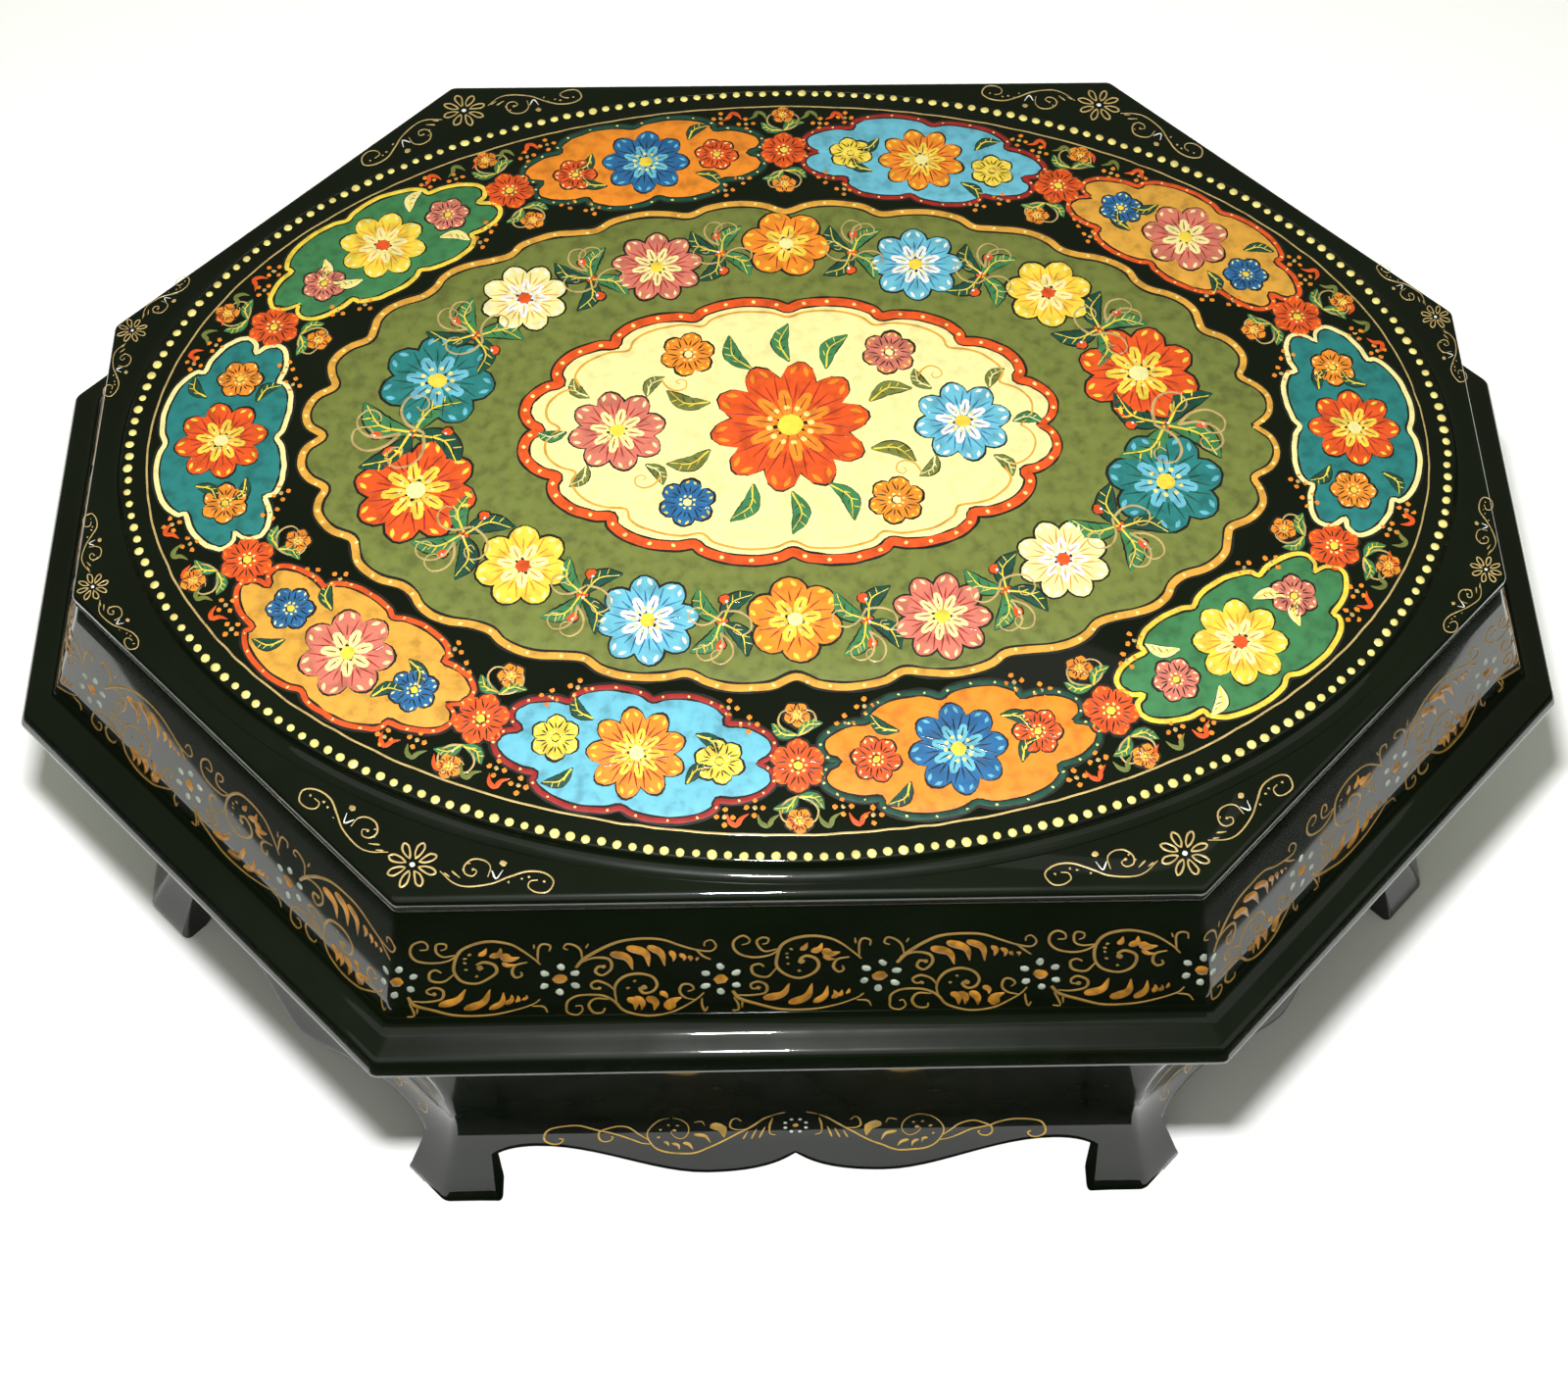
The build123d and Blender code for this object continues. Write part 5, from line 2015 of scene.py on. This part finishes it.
            self.paint_gap(easel, track, share + 0.5 / self.cartouches)

    def paint_gap(self, easel: Easel, track: Track, share: float) -> None:
        """Paints the black ground between two cartouches: a floret, gold curls and dots."""
        Blossom(4.6, 6, VERMILION, INK, ORANGE, YELLOW, 1).paint(easel, track.place(share, 0.4))
        for offset, turn in ((5.6, 0), (-4.8, 180)):
            for side in (-1, 1):
                spot = moved(track.place(share, offset), turn=turn - 38 * side, scale=0.85)
                curl = [(x, -side * y) for x, y in CURL]
                easel.brush(PALE_GOLD, Coat.BODY).stroke(curl, 0.5, Taper.STEM, spot)
                leaf = moved(track.place(share, offset), turn=turn + 62 * side)
                Leaf(4.6, 2.0, LEAF_GREEN, YELLOW).paint(easel, leaf)
            Blossom(2.2, 5, ORANGE, INK, YELLOW, YELLOW, 1).paint(easel, track.place(share, offset * 1.75))
        for side in (-1, 1):
            for along, offset in ((6.4, 7.6), (8.2, -6.6), (10.6, 9.4), (12.0, -9.4)):
                spot = track.place(share + side * along / track.length(), offset)
                easel.brush(PALE_GOLD, Coat.BODY).dot((0.0, 0.0), 0.8, setting=spot)
                for x, y, _ in ring(4, 1.3):
                    easel.brush(ORANGE, Coat.BODY).dot((x, y), 0.9, setting=spot)


@dataclass(frozen=True)
class PhotoCamera:
    """Camera that stands where the photograph was taken."""

    place: Triple = (-0.00676, -0.23664, 0.44356)
    turn_degrees: Triple = (30.188, -0.528, -1.178)
    focal_pixels: float = 2387.0
    centre_pixels: Pair = (813.0, 684.0)
    sensor_mm: float = 36.0

    def build(self) -> None:
        """Adds the camera and makes it the scene's own."""
        data = bpy.data.cameras.new("photo_camera")
        data.sensor_width = self.sensor_mm
        data.sensor_fit = "HORIZONTAL"
        width, height = PHOTO_SIZE
        data.lens = self.focal_pixels / width * self.sensor_mm
        data.shift_x = (width / 2 - self.centre_pixels[0]) / width
        data.shift_y = (self.centre_pixels[1] - height / 2) / width
        data.clip_start = 0.01
        camera = bpy.data.objects.new("photo_camera", data)
        camera.location = self.place
        camera.rotation_euler = [math.radians(angle) for angle in self.turn_degrees]
        bpy.context.scene.collection.objects.link(camera)
        bpy.context.scene.camera = camera


@dataclass(frozen=True)
class SoftBox:
    """Rectangular studio lamp that faces the casket."""

    name: str
    place: Triple
    size: Pair
    radiance: float

    def build(self) -> None:
        """Adds the lamp, turned to the middle of the lid."""
        data = bpy.data.lights.new(self.name, "AREA")
        data.shape = "RECTANGLE"
        data.size, data.size_y = self.size
        data.energy = self.radiance * math.pi * self.size[0] * self.size[1]
        lamp = bpy.data.objects.new(self.name, data)
        lamp.location = self.place
        aim = Vector((0, 0, LEVELS.plate_top)) - Vector(self.place)
        lamp.rotation_euler = aim.to_track_quat("-Z", "Y").to_euler()
        bpy.context.scene.collection.objects.link(lamp)


@dataclass
class Studio:
    """Pale sheets, dim room and the lamps."""

    sheets: tuple[tuple[Pair, ...], ...] = (
        ((0.072, -0.112), (0.244, -0.112), (0.384, 0.086), (0.384, 0.50), (-0.41, 0.50), (-0.41, 0.09),
         (-0.25, -0.112), (-0.072, -0.112), (-0.072, -0.08), (0.072, -0.08)),
        ((-0.14, -0.205), (0.14, -0.205), (0.214, -0.152), (0.244, -0.112), (-0.25, -0.112),
         (-0.215, -0.155)),
    )
    room: Colour = (0.13, 0.14, 0.10)
    table: Colour = (0.012, 0.014, 0.010)
    horizon: float = 0.25
    lamps: tuple[SoftBox, ...] = (
        SoftBox("flash", (-0.016, -0.180, 0.468), (0.028, 0.016), 1400.0),
        SoftBox("key_box", (-0.60, -0.95, 1.20), (1.6, 1.2), 0.4),
        SoftBox("fill_box", (0.95, -0.75, 1.00), (1.4, 1.2), 0.3),
        SoftBox("window", (0.263, 0.516, 1.35), (0.21, 0.08), 0.3),
    )

    def build(self) -> None:
        """Adds the floor, the world and the lamps."""
        finish = StudioFloor().material()
        for number, corners in enumerate(self.sheets):
            deselect()
            bpy.ops.mesh.primitive_circle_add(vertices=len(corners), fill_type="NGON")
            floor = bpy.context.object
            floor.name = f"studio_floor_{number + 1}"
            for vert, place in zip(floor.data.vertices, corners):
                vert.co = (*place, 0.0)
            dress(floor, finish)
        for lamp in self.lamps:
            lamp.build()
        self.light_room()

    def light_room(self) -> None:
        """Sets the world: white to the lens, a dim room over a dark table for the rest."""
        kit = Nodes(bpy.data.worlds.new("studio_room"))
        height = kit.add("SeparateXYZ", Vector=kit.add("TexCoord").outputs["Generated"]).outputs["Z"]
        room = kit.ramp(height, ((0.0, self.table), (self.horizon, self.room)))
        seen = kit.add("LightPath").outputs["Is Camera Ray"]
        colour = kit.add("MixRGB", Fac=seen, Color1=room, Color2=(1.0, 1.0, 1.0, 1.0)).outputs[0]
        light = kit.add("Background", Color=colour).outputs[0]
        bpy.context.scene.world = kit.close("OutputWorld", light)


class Casket:
    """The whole box: courses, lid and hardware, each dressed and seated."""

    def __init__(self) -> None:
        """Makes the shared finishes."""
        self.black = BLACK_LACQUER.material()
        self.red = RED_LACQUER.material()
        self.brass = Brass().material()
        self.dome = Dome()

    def build_case(self) -> None:
        """Builds the stand, the moulding and the frieze."""
        for piece, course in ((Stand().build(), "apron"), (Moulding().build(), "plinth"),
                              (Frieze().build(), "frieze")):
            dress(piece, self.black)
            seat(piece, "case", "black_lacquer", *around(course))

    def build_lid(self) -> None:
        """Builds the lid plate and its oval panel."""
        plate, panel = LidPlate().build(), self.dome.build()
        dress(plate, self.black)
        dress(panel, self.black)
        seat(plate, "lid", "black_lacquer", "lid_plate")
        seat(panel, "lid", "oval_painting", "lid_oval_panel")

    def paint(self) -> None:
        """Paints the ornament of the case and of the lid."""
        layers = {
            ("case", "black_lacquer"): [*FriezePainting().build(), *StandPainting().build()],
            ("lid", "black_lacquer"): BorderPainting().build(),
            ("lid", "oval_painting"): [*DotRing().build(self.dome), *OvalPainting().build(self.dome)],
        }
        for (body, slot), works in layers.items():
            for work, pigment, sheet in works:
                piece = work.paint(sheet)
                dress(piece, pigment.finish())
                seat(piece, body, slot)

    def dress_nodes(self) -> None:
        """Gives the CAD nodes that stay their finishes."""
        for name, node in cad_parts.items():
            dress(node, self.brass if name.startswith("hinge") else self.red)


def main() -> None:
    """Builds the casket, its studio and its camera."""
    bpy.context.scene.view_settings.view_transform = "Standard"
    PhotoCamera().build()
    Studio().build()
    casket = Casket()
    casket.dress_nodes()
    casket.build_case()
    casket.build_lid()
    casket.paint()


if __name__ == "__main__":
    main()
